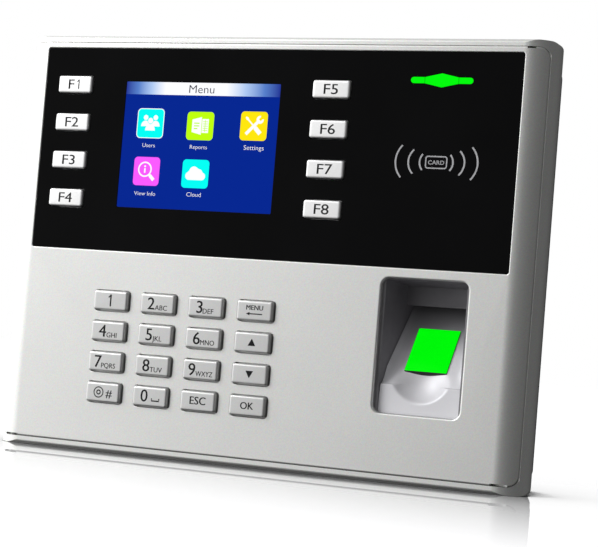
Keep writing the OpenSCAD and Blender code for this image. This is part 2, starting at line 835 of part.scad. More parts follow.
// Holder of the coin cell
module cell_holder()
    color(black)
        difference() {
            slab([cell_x - 11.5, cell_x + 11.5], [board_d - 4, board_d], [cell_z - 11.5, cell_z + 11.5]);
            rod(cell_x, cell_z, 10.05, [board_d - 1.4, board_d - 1.2]);
            rod(cell_x, cell_z, 10.05, [board_d - 5, board_d - 1.35]);
            slab([cell_x - 4, cell_x + 4], [board_d - 5, board_d - 1.2], [cell_z + 6, cell_z + 12]);
        }

// Ribbon from the display to the main board
module lcd_ribbon()
    color([0.75, 0.5, 0.2])
        side_view([-40, -12])
            translate([0, 160]) mirror([0, 1]) ribbon_side(8, 60, 80, board_d - 2, 0.3);

// Ribbon from the keypad board to the main board
module keypad_ribbon()
    color([0.75, 0.5, 0.2])
        side_view([-20, 0]) ribbon_side(keypad_board_d() + board_t + 2, 53, 70, board_d - 2, 0.3);

// Ribbon from the finger reader to the main board
module sensor_ribbon()
    color([0.75, 0.5, 0.2])
        plan_view([50, 55])
            polygon([
                [76, pocket_back + plate_t], [44.2, pocket_back + plate_t], [41.2, board_back + 2.4],
                [40.8, board_back + 2.4], [43.9, pocket_back + plate_t + 0.3], [76, pocket_back + plate_t + 0.3]
            ]);

// ---- Fasteners ------------------------------------------------------------

// Screws through the rear cover into the housing
module rear_screws()
    color(steel)
        for (s = [-1, 1], z = rear_screw_rows)
            screw(s * rear_screw_x, z, rear_floor - 1.2, 12, 1);

// Screws through the housing tabs into the front cover
module cover_screws()
    color(steel)
        for (x = cover_screw_x, z = cover_screw_rows)
            screw(x, z, tab_d + 2, 7, 1);

// Screws that hold the main board on the rear cover and the switch boards on the front cover
module board_screws()
    color(steel) {
        for (p = board_posts)
            screw(p[0], p[1], board_d, 8, -1);
        for (x = kpost_x, z = kpost_rows)
            screw(x, z, keypad_board_d() + board_t, 3.6, 1);
        for (x = [fkey_left, fkey_right], z = fpost_rows)
            screw(x, z, function_board_d() + board_t, 3.6, 1);
    }

// Screws of the steel strap
module sensor_screws()
    color(steel)
        for (s = [-1, 1])
            screw(recess_x + s * 16, 58, pocket_back + plate_t, 8, 1);

// ---- Nodes ----------------------------------------------------------------

front_cover();
main_housing();
rear_cover();
cable_tray();
wall_bracket();
lock_screw();
display_panel();
lcd_frame();
lcd_screen();
keypad_mat();
function_mats();
keypad_board();
function_boards();
finger_pocket();
finger_rest();
sensor_module();
sensor_glass();
sensor_retainer();
rfid_antenna();
status_lens();
status_board();
main_board();
network_socket();
usb_socket();
power_jack();
terminal_block();
speaker();
clock_cell();
cell_holder();
lcd_ribbon();
keypad_ribbon();
sensor_ribbon();
rear_screws();
cover_screws();
board_screws();
sensor_screws();
keypad_key(0, 0);  // key_1
keypad_key(1, 0);  // key_2
keypad_key(2, 0);  // key_3
keypad_key(3, 0);  // key_menu
keypad_key(0, 1);  // key_4
keypad_key(1, 1);  // key_5
keypad_key(2, 1);  // key_6
keypad_key(3, 1);  // key_up
keypad_key(0, 2);  // key_7
keypad_key(1, 2);  // key_8
keypad_key(2, 2);  // key_9
keypad_key(3, 2);  // key_down
keypad_key(0, 3);  // key_hash
keypad_key(1, 3);  // key_0
keypad_key(2, 3);  // key_esc
keypad_key(3, 3);  // key_ok
function_key(fkey_left, 0);  // f1_key
function_key(fkey_left, 1);  // f2_key
function_key(fkey_left, 2);  // f3_key
function_key(fkey_left, 3);  // f4_key
function_key(fkey_right, 0);  // f5_key
function_key(fkey_right, 1);  // f6_key
function_key(fkey_right, 2);  // f7_key
function_key(fkey_right, 3);  // f8_key
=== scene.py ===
import json
import math
import bmesh
import bpy
from mathutils import Matrix, Vector

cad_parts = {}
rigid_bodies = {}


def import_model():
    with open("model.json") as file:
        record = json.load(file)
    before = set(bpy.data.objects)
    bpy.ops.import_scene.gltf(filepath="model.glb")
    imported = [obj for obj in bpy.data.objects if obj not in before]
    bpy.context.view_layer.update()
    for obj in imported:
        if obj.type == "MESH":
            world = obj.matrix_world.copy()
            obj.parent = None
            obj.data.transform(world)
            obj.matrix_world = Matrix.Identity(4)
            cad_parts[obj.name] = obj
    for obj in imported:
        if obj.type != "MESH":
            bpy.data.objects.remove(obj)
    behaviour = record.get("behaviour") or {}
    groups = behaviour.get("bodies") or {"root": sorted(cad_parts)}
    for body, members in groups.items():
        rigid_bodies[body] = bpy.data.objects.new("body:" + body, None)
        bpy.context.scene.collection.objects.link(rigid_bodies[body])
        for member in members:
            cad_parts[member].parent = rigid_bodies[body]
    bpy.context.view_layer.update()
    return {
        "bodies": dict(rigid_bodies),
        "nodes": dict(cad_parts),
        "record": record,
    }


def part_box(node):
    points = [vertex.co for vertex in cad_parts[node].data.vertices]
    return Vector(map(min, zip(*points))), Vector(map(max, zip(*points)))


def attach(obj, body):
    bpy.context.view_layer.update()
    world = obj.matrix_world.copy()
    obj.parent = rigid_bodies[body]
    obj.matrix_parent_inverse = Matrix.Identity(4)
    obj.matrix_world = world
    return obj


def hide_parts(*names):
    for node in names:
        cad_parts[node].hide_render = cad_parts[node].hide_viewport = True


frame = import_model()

MM = 0.001
SLOT_OF = {row["node"]: row["material_slot"] for row in frame["record"]["subparts"]}


# ---- Node material helpers ------------------------------------------------

class Shader:
    """A principled material whose colour, roughness and bump come from noise nodes."""

    def __init__(self, name, colour, rough, metal=0.0, spec=0.5):
        self.mat = bpy.data.materials.new(name)
        self.mat.use_nodes = True
        self.tree = self.mat.node_tree
        self.bsdf = self.tree.nodes["Principled BSDF"]
        self.bsdf.inputs["Base Color"].default_value = (*colour, 1)
        self.bsdf.inputs["Roughness"].default_value = rough
        self.bsdf.inputs["Metallic"].default_value = metal
        self.bsdf.inputs["Specular IOR Level"].default_value = spec
        self.colour = colour
        self.coords = self.node("ShaderNodeTexCoord").outputs["Object"]
        self.height = None

    def node(self, kind, **values):
        made = self.tree.nodes.new(kind)
        for key, value in values.items():
            setattr(made, key, value)
        return made

    def link(self, a, b):
        self.tree.links.new(a, b)

    def noise(self, size_mm, detail=3.0, stretch=(1, 1, 1)):
        """Noise whose features are about size_mm across, as a value from 0 to 1."""
        mapping = self.node("ShaderNodeMapping")
        mapping.inputs["Scale"].default_value = stretch
        self.link(self.coords, mapping.inputs["Vector"])
        noise = self.node("ShaderNodeTexNoise")
        noise.inputs["Scale"].default_value = 1000.0 / size_mm
        noise.inputs["Detail"].default_value = detail
        self.link(mapping.outputs["Vector"], noise.inputs["Vector"])
        return noise.outputs["Fac"]

    def cells(self, size_mm, output="Distance"):
        """Voronoi cells about size_mm across."""
        cells = self.node("ShaderNodeTexVoronoi")
        cells.inputs["Scale"].default_value = 1000.0 / size_mm
        self.link(self.coords, cells.inputs["Vector"])
        return cells.outputs[output]

    def ramp(self, source, stops):
        """A colour ramp over a value; stops are (place, colour)."""
        ramp = self.node("ShaderNodeValToRGB")
        ramp.color_ramp.elements[0].position = stops[0][0]
        ramp.color_ramp.elements[0].color = (*stops[0][1], 1)
        ramp.color_ramp.elements[1].position = stops[-1][0]
        ramp.color_ramp.elements[1].color = (*stops[-1][1], 1)
        for place, colour in stops[1:-1]:
            ramp.color_ramp.elements.new(place).color = (*colour, 1)
        self.link(source, ramp.inputs["Fac"])
        return ramp.outputs["Color"]

    def spread(self, source, low, high, start=0.3, end=0.7):
        """Maps a value's middle range onto low to high."""
        spread = self.node("ShaderNodeMapRange")
        spread.inputs["From Min"].default_value = start
        spread.inputs["From Max"].default_value = end
        spread.inputs["To Min"].default_value = low
        spread.inputs["To Max"].default_value = high
        self.link(source, spread.inputs["Value"])
        return spread.outputs["Result"]

    def mix(self, fac, a, b):
        """A colour between a and b; each is a colour or a node's output."""
        mix = self.node("ShaderNodeMix", data_type="RGBA")
        for socket, value in ((mix.inputs["Factor"], fac), (mix.inputs["A"], a), (mix.inputs["B"], b)):
            if isinstance(value, bpy.types.NodeSocket):
                self.link(value, socket)
            else:
                socket.default_value = (*value, 1) if isinstance(value, tuple) else value
        return mix.outputs["Result"]

    def mottle(self, source, low, high):
        """Sets the base colour to vary between low and high times its own value."""
        dark = tuple(c * low for c in self.colour)
        light = tuple(min(1, c * high) for c in self.colour)
        self.link(self.ramp(source, [(0.3, dark), (0.7, light)]), self.bsdf.inputs["Base Color"])

    def uneven_gloss(self, source, low, high):
        self.link(self.spread(source, low, high), self.bsdf.inputs["Roughness"])

    def bump(self, source, depth_mm, strength=1.0):
        """Adds a bump of about depth_mm on top of the ones before it."""
        bump = self.node("ShaderNodeBump")
        bump.inputs["Distance"].default_value = depth_mm * MM
        bump.inputs["Strength"].default_value = strength
        self.link(source, bump.inputs["Height"])
        if self.height:
            self.link(self.height, bump.inputs["Normal"])
        self.height = bump.outputs["Normal"]
        self.link(self.height, self.bsdf.inputs["Normal"])

    def glow(self, colour, strength=1.0):
        """Lights the surface: colour is a colour or a node's output."""
        if isinstance(colour, bpy.types.NodeSocket):
            self.link(colour, self.bsdf.inputs["Emission Color"])
        else:
            self.bsdf.inputs["Emission Color"].default_value = (*colour, 1)
        self.bsdf.inputs["Emission Strength"].default_value = strength


def painted_silver(name, colour, rough=0.36, metal=0.85, flake=0.09, deep=None):
    """Satin silver paint: fine metal flakes under a thin clear coat, faintly cloudy.

    deep is (low z, high z, share): between those heights the tone darkens to that share of itself. It
    stands in for the shadow that the photo shows deep in the recess; the paint itself doesn't change."""
    paint = Shader(name, colour, rough, metal)
    cloud = paint.noise(24, 2)
    flakes = paint.cells(0.32, "Color")
    tone = paint.mix(paint.spread(cloud, 0.3, 0.7), tuple(c * 0.97 for c in colour),
                     tuple(min(1, c * 1.03) for c in colour))
    sparkle = paint.mix(flake, tone, flakes)
    if deep:
        split = paint.node("ShaderNodeSeparateXYZ")
        paint.link(paint.coords, split.inputs["Vector"])
        fade = paint.spread(split.outputs["Z"], 0.0, 1.0, deep[0], deep[1])
        sparkle = paint.mix(fade, sparkle, tuple(c * deep[2] for c in colour))
    paint.link(sparkle, paint.bsdf.inputs["Base Color"])
    paint.uneven_gloss(paint.noise(0.6, 2), rough - 0.04, rough + 0.05)
    paint.bump(paint.noise(0.45, 2), 0.012, 0.35)
    paint.bump(paint.noise(9, 1), 0.02, 0.12)
    return paint.mat


def moulded(name, colour, rough, grain_mm=0.35, depth_mm=0.03, spec=0.4):
    """Spark-eroded moulded plastic."""
    plastic = Shader(name, colour, rough, 0.0, spec)
    plastic.mottle(plastic.noise(14, 4), 0.85, 1.2)
    plastic.uneven_gloss(plastic.noise(3, 3), rough - 0.07, rough + 0.08)
    plastic.bump(plastic.noise(grain_mm, 4), depth_mm, 0.5)
    return plastic.mat


def polished(name, colour, rough, spec):
    """Polished acrylic: a little haze, faint dust and an almost flat surface."""
    acrylic = Shader(name, colour, rough, 0.0, spec)
    acrylic.mottle(acrylic.noise(30, 3), 0.8, 1.3)
    acrylic.uneven_gloss(acrylic.noise(6, 5), rough * 0.7, rough * 1.5)
    acrylic.bump(acrylic.noise(18, 1), 0.004, 0.2)
    return acrylic.mat


def plated(name, colour, rough, stretch):
    """Zinc-plated steel with drawn lines and cloudy patches."""
    steel = Shader(name, colour, rough, 1.0)
    steel.mottle(steel.noise(7, 4), 0.82, 1.15)
    lines = steel.noise(0.8, 3, stretch)
    steel.uneven_gloss(lines, rough - 0.1, rough + 0.12)
    steel.bump(lines, 0.01, 0.4)
    return steel.mat


def lit(name, colour, pixel_mm=0.22, rough=0.12, strength=1.0):
    """A part of the display or a lamp: it glows evenly with a faint fine grain."""
    lamp = Shader(name, tuple(0.03 * c for c in colour), rough, 0.0, 0.03)
    grain = lamp.spread(lamp.cells(pixel_mm), 0.0, 1.0, 0.1, 0.8)
    dim = tuple(c * 0.96 for c in colour)
    lamp.glow(lamp.mix(grain, dim, colour), strength)
    return lamp.mat


def printed(name, colour, rough=0.5):
    """Ink: slightly uneven in tone and gloss."""
    ink = Shader(name, colour, rough, 0.0, 0.3)
    ink.mottle(ink.noise(1.2, 3), 0.9, 1.1)
    ink.uneven_gloss(ink.noise(0.7, 2), rough - 0.08, rough + 0.1)
    return ink.mat


def board_mask(name):
    """Green solder mask over copper tracks."""
    mask = Shader(name, (0.02, 0.16, 0.06), 0.32)
    brick = mask.node("ShaderNodeTexBrick")
    for key, value in (("Scale", 160.0), ("Mortar Size", 0.035), ("Brick Width", 0.9), ("Row Height", 0.3)):
        brick.inputs[key].default_value = value
    turn = mask.node("ShaderNodeMapping")
    turn.inputs["Rotation"].default_value = (math.radians(90), 0, 0)
    mask.link(mask.coords, turn.inputs["Vector"])
    mask.link(turn.outputs["Vector"], brick.inputs["Vector"])
    tracks = mask.spread(brick.outputs["Fac"], 0.0, 1.0, 0.2, 0.8)
    base = mask.ramp(mask.noise(11, 3), [(0.3, (0.012, 0.12, 0.045)), (0.7, (0.025, 0.19, 0.07))])
    mask.link(mask.mix(tracks, base, (0.05, 0.30, 0.12)), mask.bsdf.inputs["Base Color"])
    mask.bump(tracks, 0.03, 0.5)
    return mask.mat


def film(name):
    """Amber film with copper conductors showing through."""
    amber = Shader(name, (0.45, 0.25, 0.08), 0.25)
    wave = amber.node("ShaderNodeTexWave", bands_direction="X")
    wave.inputs["Scale"].default_value = 250.0
    amber.link(amber.coords, wave.inputs["Vector"])
    amber.link(amber.ramp(wave.outputs["Fac"], [(0.4, (0.42, 0.20, 0.05)), (0.6, (0.62, 0.38, 0.13))]),
               amber.bsdf.inputs["Base Color"])
    amber.bump(wave.outputs["Fac"], 0.02, 0.4)
    return amber.mat


def rubber(name):
    """Milky silicone."""
    milky = Shader(name, (0.62, 0.62, 0.6), 0.6)
    milky.mottle(milky.noise(5, 3), 0.92, 1.06)
    milky.bump(milky.noise(0.5, 3), 0.02, 0.4)
    milky.bsdf.inputs["Subsurface Weight"].default_value = 0.2
    milky.bsdf.inputs["Subsurface Radius"].default_value = (0.002, 0.002, 0.0018)
    return milky.mat


SILVER = (0.785, 0.79, 0.77)
SCREEN_BLUE = (0.0003, 0.0190, 0.285)
LIT_GREEN = (0.0, 0.95, 0.003)

finish_of = {
    "silver_shell": painted_silver("silver_paint", SILVER),
    "black_shell": moulded("black_moulding", (0.018, 0.018, 0.020), 0.5),
    # Painted shade: the pocket's dark grey stands in for the shade deep in the finger recess.
    "pocket_grey": moulded("pocket_painted_shade", (0.235, 0.23, 0.245), 0.42, 0.3, 0.02),
    "panel_black": polished("black_acrylic", (0.0026, 0.0026, 0.0029), 0.08, 0.05),
    "screen_glass": lit("screen_blue", SCREEN_BLUE),
    "sensor_glass": lit("sensor_green", LIT_GREEN, 0.5, 0.15),
    "status_green": lit("status_green", LIT_GREEN, 0.6, 0.2),
    "key_silver": painted_silver("key_silver", (0.67, 0.67, 0.665), 0.32, 0.78, 0.05),
    "silicone": rubber("silicone"),
    "circuit_board": board_mask("solder_mask"),
    "terminal_green": moulded("green_moulding", (0.03, 0.22, 0.09), 0.4),
    "ribbon_film": film("amber_film"),
    "zinc_steel": plated("zinc_plate", (0.50, 0.51, 0.53), 0.32, (1, 1, 0.06)),
    "screw_steel": plated("screw_plate", (0.42, 0.43, 0.45), 0.28, (1, 1, 1)),
}
for node_name, node_object in frame["nodes"].items():
    node_object.data.materials.clear()
    node_object.data.materials.append(finish_of[SLOT_OF[node_name]])


# ---- Mesh helpers ---------------------------------------------------------
# A view shape is a list of (x, z) points in metres; depth is measured back from the front face.

cover_low, cover_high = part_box("front_cover")
FACE_Y = cover_low.y


def at(x, depth, z):
    return Vector((x, FACE_Y + depth, z))


def arc(cx, cz, r, start, end, steps):
    """Points round part of a circle, with the angles in degrees."""
    turn = [math.radians(start + (end - start) * i / steps) for i in range(steps + 1)]
    return [(cx + r * math.cos(a), cz + r * math.sin(a)) for a in turn]


def round_box(x0, x1, z0, z1, r, grow=0.0, steps=7):
    """A rounded rectangle, grown outwards all round."""
    x0, x1, z0, z1 = x0 - grow, x1 + grow, z0 - grow, z1 + grow
    r = max(r + grow, 0.05 * MM)
    return (arc(x1 - r, z0 + r, r, -90, 0, steps) + arc(x1 - r, z1 - r, r, 0, 90, steps)
            + arc(x0 + r, z1 - r, r, 90, 180, steps) + arc(x0 + r, z0 + r, r, 180, 270, steps))


def front_range(node, trim=0.0):
    """A node's range in X and Z, made smaller by trim all round."""
    low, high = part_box(node)
    return low.x + trim, high.x - trim, low.z + trim, high.z - trim


def piece(name, bm, mat, body, sharp=38):
    """Makes a mesh object from a bmesh, shades it and lets it ride on a body."""
    bmesh.ops.recalc_face_normals(bm, faces=bm.faces)
    mesh = bpy.data.meshes.new(name)
    bm.to_mesh(mesh)
    bm.free()
    for face in mesh.polygons:
        face.use_smooth = True
    mesh.set_sharp_from_angle(angle=math.radians(sharp))
    made = bpy.data.objects.new(name, mesh)
    bpy.context.scene.collection.objects.link(made)
    mesh.materials.append(mat)
    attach(made, body)
    return made


def ring(bm, points, depth):
    return [bm.verts.new(at(x, depth, z)) for x, z in points]


def band(bm, a, b):
    """Joins two rings of the same length with faces."""
    for i in range(len(a)):
        j = (i + 1) % len(a)
        bm.faces.new((a[i], a[j], b[j], b[i]))


def edge_profile(fillet, steps=5):
    """(grow, depth) steps over a rounded front edge, with a flat start just before it."""
    turns = [math.radians(90 * i / steps) for i in range(steps + 1)]
    start = [(-fillet - 0.12 * MM, 0.0)]
    return start + [(-fillet * (1 - math.sin(a)), fillet * (1 - math.cos(a))) for a in turns]


def plate(bm, outline, holes, front, back, fillet):
    """A plate with openings. outline and holes are functions that draw a shape grown by a distance."""
    front_edges, back_edges = [], []
    for shape, side, round_r in [(outline, 1, fillet)] + [(hole, -1, r) for hole, r in holes]:
        rings = [ring(bm, shape(side * grow), front + d) for grow, d in edge_profile(round_r)]
        rings.append(ring(bm, shape(0.0), back))
        for a, b in zip(rings, rings[1:]):
            band(bm, a, b)
        for loop, found in ((rings[0], front_edges), (rings[-1], back_edges)):
            found.extend(bm.edges.get((loop[i], loop[(i + 1) % len(loop)])) for i in range(len(loop)))
    for edges in (front_edges, back_edges):
        bmesh.ops.triangle_fill(bm, use_beauty=True, edges=edges, normal=(0, -1, 0))


def rounded_opening(node, corner, clear, trim=0.0):
    """The opening round a node: a function that draws it grown by a distance."""
    x0, x1, z0, z1 = front_range(node, trim)
    return lambda grow: round_box(x0, x1, z0, z1, corner, grow + clear)


FLANGE = 0.8 * MM
KEY_CLEAR = 0.35 * MM
KEYPAD = [name for name in frame["nodes"] if name.startswith("key_") and len(name) > 4]
KEYPAD_KEYS = [name for name in KEYPAD if name in frame["bodies"]]
F_KEYS = sorted(name for name in frame["bodies"] if name.endswith("_key"))

lens_low, lens_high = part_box("status_lens")
STATUS_X, STATUS_Z = (lens_low.x + lens_high.x) / 2, (lens_low.z + lens_high.z) / 2
STATUS_HALF = (lens_high.x - lens_low.x) / 2


def status_shape(grow, bar_r=1.1 * MM, shoulder=6.4 * MM, peak=2.5 * MM):
    """A thin round-ended bar with a rhombus in its middle."""
    r = bar_r + grow
    inner = STATUS_HALF - bar_r
    right = arc(STATUS_X + inner, STATUS_Z, r, -90, 90, 8)
    left = arc(STATUS_X - inner, STATUS_Z, r, 90, 270, 8)
    top = [(STATUS_X + shoulder, STATUS_Z + r), (STATUS_X, STATUS_Z + peak + grow),
           (STATUS_X - shoulder, STATUS_Z + r)]
    low = [(x, 2 * STATUS_Z - z) for x, z in reversed(top)]
    return right + top + left + low


# ---- Front cover ----------------------------------------------------------
# It is made flat, cut into strips beyond the flat front, and bent round the sides.

SIDE_X = 96.5 * MM
SIDE_R = 11.4 * MM
COVER_WALL = 2.2 * MM
COVER_BACK = 3.95 * MM
panel_range = front_range("display_panel")
pocket_low, pocket_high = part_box("finger_pocket")
RECESS_X = (pocket_low.x + pocket_high.x) / 2
RECESS_LOW, RECESS_HIGH = 24.6 * MM, 73.1 * MM
RECESS_HALF = 16.5 * MM


def bend(bm):
    """Bends a flat plate back round both sides of the body."""
    for vert in bm.verts:
        over = abs(vert.co.x) - SIDE_X
        if over > 0:
            depth = vert.co.y - FACE_Y
            turn = over / SIDE_R
            radius = SIDE_R - depth
            vert.co.x = math.copysign(SIDE_X + radius * math.sin(turn), vert.co.x)
            vert.co.y = FACE_Y + SIDE_R - radius * math.cos(turn)


def cut_strips(bm):
    """Adds upright edges where the plate will bend."""
    count = 14
    reach = SIDE_R * math.acos(1 - COVER_BACK / SIDE_R)
    for s in (-1, 1):
        for i in range(count):
            place = s * (SIDE_X + reach * i / count)
            geometry = bm.verts[:] + bm.edges[:] + bm.faces[:]
            bmesh.ops.bisect_plane(bm, geom=geometry, dist=1e-8, plane_co=(place, 0, 0), plane_no=(1, 0, 0))


def cover_outline(grow):
    reach = SIDE_X + SIDE_R * math.acos(1 - COVER_BACK / SIDE_R)
    return round_box(-reach, reach, cover_low.z, cover_high.z, 4.3 * MM, grow)


def carve(target, boxes):
    """Cuts boxes, given by two corners, out of a mesh object."""
    bm = bmesh.new()
    for low, high in boxes:
        size = Vector(high) - Vector(low)
        made = bmesh.ops.create_cube(bm, size=1.0)["verts"]
        for vert in made:
            vert.co = Vector(a * b for a, b in zip(vert.co, size)) + (Vector(high) + Vector(low)) / 2
    mesh = bpy.data.meshes.new("cutter")
    bm.to_mesh(mesh)
    bm.free()
    cutter = bpy.data.objects.new("cutter", mesh)
    bpy.context.scene.collection.objects.link(cutter)
    cut = target.modifiers.new("cut", "BOOLEAN")
    cut.operation = "DIFFERENCE"
    cut.solver = "EXACT"
    cut.object = cutter
    applied = bpy.data.meshes.new_from_object(target.evaluated_get(bpy.context.evaluated_depsgraph_get()))
    target.modifiers.clear()
    target.data = applied
    bpy.data.objects.remove(cutter)


bm = bmesh.new()
x0, x1, z0, z1 = panel_range
openings = [(lambda grow: round_box(x0, x1, z0, z1, 0.8 * MM, grow + 0.1 * MM), 0.42 * MM),
            (lambda grow: round_box(RECESS_X - RECESS_HALF, RECESS_X + RECESS_HALF,
                                    RECESS_LOW, RECESS_HIGH, 3 * MM, grow), 0.65 * MM)]
openings += [(rounded_opening(name, 1 * MM, KEY_CLEAR, FLANGE), 0.3 * MM) for name in KEYPAD_KEYS]
plate(bm, cover_outline, openings, 0.0, COVER_WALL, 0.65 * MM)
cut_strips(bm)
bend(bm)
cover = piece("front_cover_skin", bm, finish_of["silver_shell"], "terminal", 30)
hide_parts("front_cover")
notches = []
for middle, half, base, tall in ((99.0, 1.5, cover_high.z - 0.7 * MM, 2 * MM),
                                 (98.8, 3.0, cover_low.z + 0.8 * MM, -2 * MM),
                                 (-98.8, 3.0, cover_low.z + 0.8 * MM, -2 * MM)):
    notches.append(((middle * MM - half * MM, FACE_Y - 1 * MM, min(base, base + tall)),
                    (middle * MM + half * MM, FACE_Y + 3 * MM, max(base, base + tall))))
carve(cover, notches)

# ---- Display panel --------------------------------------------------------

panel_low, panel_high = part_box("display_panel")
PANEL_FRONT = panel_low.y - FACE_Y
PANEL_BACK = panel_high.y - FACE_Y
bm = bmesh.new()
edge = 0.12 * MM
openings = [(rounded_opening("lcd_screen", 0.4 * MM, 0.05 * MM), edge),
            (lambda grow: status_shape(grow + 0.05 * MM), edge)]
openings += [(rounded_opening(name, 1 * MM, KEY_CLEAR, FLANGE), edge) for name in F_KEYS]
plate(bm, lambda grow: round_box(x0, x1, z0, z1, 0.8 * MM, grow), openings, PANEL_FRONT, PANEL_BACK, edge)
panel = piece("display_window", bm, finish_of["panel_black"], "terminal")
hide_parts("display_panel")


# ---- Finger rest and reader window ----------------------------------------

REST_LOW, REST_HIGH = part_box("finger_rest")
PLATE_DEPTH = REST_LOW.y - FACE_Y
PLATE_TOP = 35.2 * MM
RAMP_ANGLE = math.radians(51)
RAMP_DEPTH, RAMP_Z = 14.5 * MM, 48 * MM
SCOOP_R, SCOOP_RING, SCOOP_Z = 13.5 * MM, 11.3 * MM, 40.3 * MM


def smooth_max(a, b, k):
    """The larger of two values, with a rounded change from one to the other."""
    over = max(k - abs(a - b), 0.0)
    return max(a, b) + over * over / (4 * k)


def rest_depth(x, z, side):
    """Depth of the finger rest's surface; side is 0 in the middle and 1 at a wall."""
    ramp = RAMP_DEPTH + (z - RAMP_Z) / math.tan(RAMP_ANGLE)
    step = min(max((z - PLATE_TOP) / (0.5 * MM) + 0.5, 0.0), 1.0)
    base = PLATE_DEPTH + (max(ramp, PLATE_DEPTH) - PLATE_DEPTH) * step * step * (3 - 2 * step)
    reach = math.hypot(x, z - SCOOP_Z)
    depth = base
    if reach < SCOOP_R:
        bowl = PLATE_DEPTH - math.sqrt(SCOOP_R ** 2 - SCOOP_RING ** 2) + math.sqrt(SCOOP_R ** 2 - reach ** 2)
        depth = smooth_max(base, bowl, (0.9 + 1.6 * step) * MM)
    cove = max(side - 0.80, 0.0) / 0.20 * min(max((z - PLATE_TOP) / (6 * MM), 0.0), 1.0)
    return max(depth - 1.9 * MM * cove * cove, PLATE_DEPTH)


def finger_rest():
    """A plate and a ramp with coved sides, and a scoop that runs softly into the ramp."""
    middle = (REST_LOW.x + REST_HIGH.x) / 2
    half = (REST_HIGH.x - REST_LOW.x) / 2
    taper = 3.3 / 29.8
    heights = [REST_LOW.z + (REST_HIGH.z - REST_LOW.z) * i / 110 for i in range(111)]
    heights = sorted(heights + [PLATE_TOP + 0.05 * MM * i for i in range(-6, 7)])
    bm = bmesh.new()
    skins = []
    for back in (0.0, 1.2 * MM):
        grid = []
        for z in heights:
            row = []
            for i in range(61):
                u = i / 30 - 1
                x = u * (half - taper * (rest_depth(0.5 * half, z, 0) - PLATE_DEPTH))
                depth = rest_depth(x, z, abs(u))
                row.append(bm.verts.new(at(middle + x, min(depth + back, REST_HIGH.y - FACE_Y), z)))
            grid.append(row)
        skins.append(grid)
    for grid in skins:
        for low, high in zip(grid, grid[1:]):
            for i in range(60):
                bm.faces.new((low[i], low[i + 1], high[i + 1], high[i]))
    rims = [[*g[0], *(r[-1] for r in g[1:]), *g[-1][-2::-1], *(r[0] for r in g[-2:0:-1])] for g in skins]
    band(bm, *rims)
    rest = piece("finger_rest_scoop", bm, REST_SILVER, "terminal", 50)
    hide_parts("finger_rest")


def on_ramp(points, rise):
    """Places (across, up the ramp) points at a height above the ramp."""
    middle = (REST_LOW.x + REST_HIGH.x) / 2
    c, s = math.cos(RAMP_ANGLE), math.sin(RAMP_ANGLE)
    return [at(middle + a, RAMP_DEPTH + t * c - rise * s, RAMP_Z + t * s + rise * c) for a, t in points]


def reader_window():
    """The lit glass of the fingerprint reader, with sides painted black as shade for the dark gap round it.
    """
    half_w, half_l = 8.1 * MM, 10.2 * MM
    bm = bmesh.new()
    rings = []
    for grow, rise in ((0.0, -0.68), (0.0, 0.44), (-0.05, 0.49), (-0.10, 0.5)):
        loop = round_box(-half_w, half_w, -half_l, half_l, 0.35 * MM, grow * MM, 3)
        rings.append([bm.verts.new(point) for point in on_ramp(loop, rise * MM)])
    for a, b in zip(rings, rings[1:]):
        band(bm, a, b)
    # The faces made so far, the sides and the back, take the second material: black as painted shade.
    bm.faces.new(rings[0])
    for face in bm.faces:
        face.material_index = 1
    bm.faces.new(rings[-1])
    made = piece("reader_window", bm, finish_of["sensor_glass"], "terminal", 30)
    made.data.materials.append(GLASS_SIDES_PAINTED_SHADE)
    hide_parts("sensor_glass")
    return made


RECESS_SHADE = (0.047, 0.063, 0.30)
REST_SILVER = painted_silver("rest_silver", (0.90, 0.895, 0.93), 0.52, 0.22, 0.02, RECESS_SHADE)
# Painted shade: the reader glass's black sides stand in for the dark gap round the glass.
GLASS_SIDES_PAINTED_SHADE = moulded("glass_sides_painted_shade", (0.008, 0.008, 0.009), 0.5)
finger_rest()
window = reader_window()

# ---- Keys and their legends -----------------------------------------------

# Painted light: a brighter copy of the key silver for the function keys; the keys are one plastic, lit
# differently.
KEY_SILVER_PAINTED_LIGHT = painted_silver("bright_key_silver", (0.94, 0.94, 0.94), 0.34, 0.75, 0.0)


def key_cap(name, crown, slope, finish):
    """A key with a flange, upright sides and a softly rounded top."""
    low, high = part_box(name)
    front, back = low.y - FACE_Y, high.y - FACE_Y
    flange_front = back - 0.8 * MM
    x0, x1, z0, z1 = front_range(name, FLANGE)
    steps = [(FLANGE, back), (FLANGE, flange_front), (0.0, flange_front), (0.0, front + crown)]
    for i in range(1, 7):
        turn = math.radians(15 * i)
        steps.append((-slope * (1 - math.cos(turn)), front + crown - (crown - 0.03 * MM) * math.sin(turn)))
    steps.append((-slope - 0.35 * MM, front + 0.02 * MM))
    bm = bmesh.new()
    rings = [ring(bm, round_box(x0, x1, z0, z1, 1.0 * MM, grow, 6), depth) for grow, depth in steps]
    for a, b in zip(rings, rings[1:]):
        band(bm, a, b)
    bm.faces.new(rings[0])
    bm.faces.new(rings[-1])
    made = piece(name + "_cap", bm, finish, name, 40)
    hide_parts(name)
    return made


def letters(text, height, weight=0.0):
    """The text's outline as a flat mesh in X and Y, its capitals as tall as height."""
    curve = bpy.data.curves.new("letters", "FONT")
    curve.body = text
    curve.size = 1.0
    curve.resolution_u = 3
    curve.offset = weight
    curve.extrude = 0.01
    made = bpy.data.objects.new("letters", curve)
    bpy.context.scene.collection.objects.link(made)
    mesh = bpy.data.meshes.new_from_object(made.evaluated_get(bpy.context.evaluated_depsgraph_get()))
    bpy.data.objects.remove(made)
    mesh.transform(Matrix.Scale(height / CAP, 4))
    return mesh


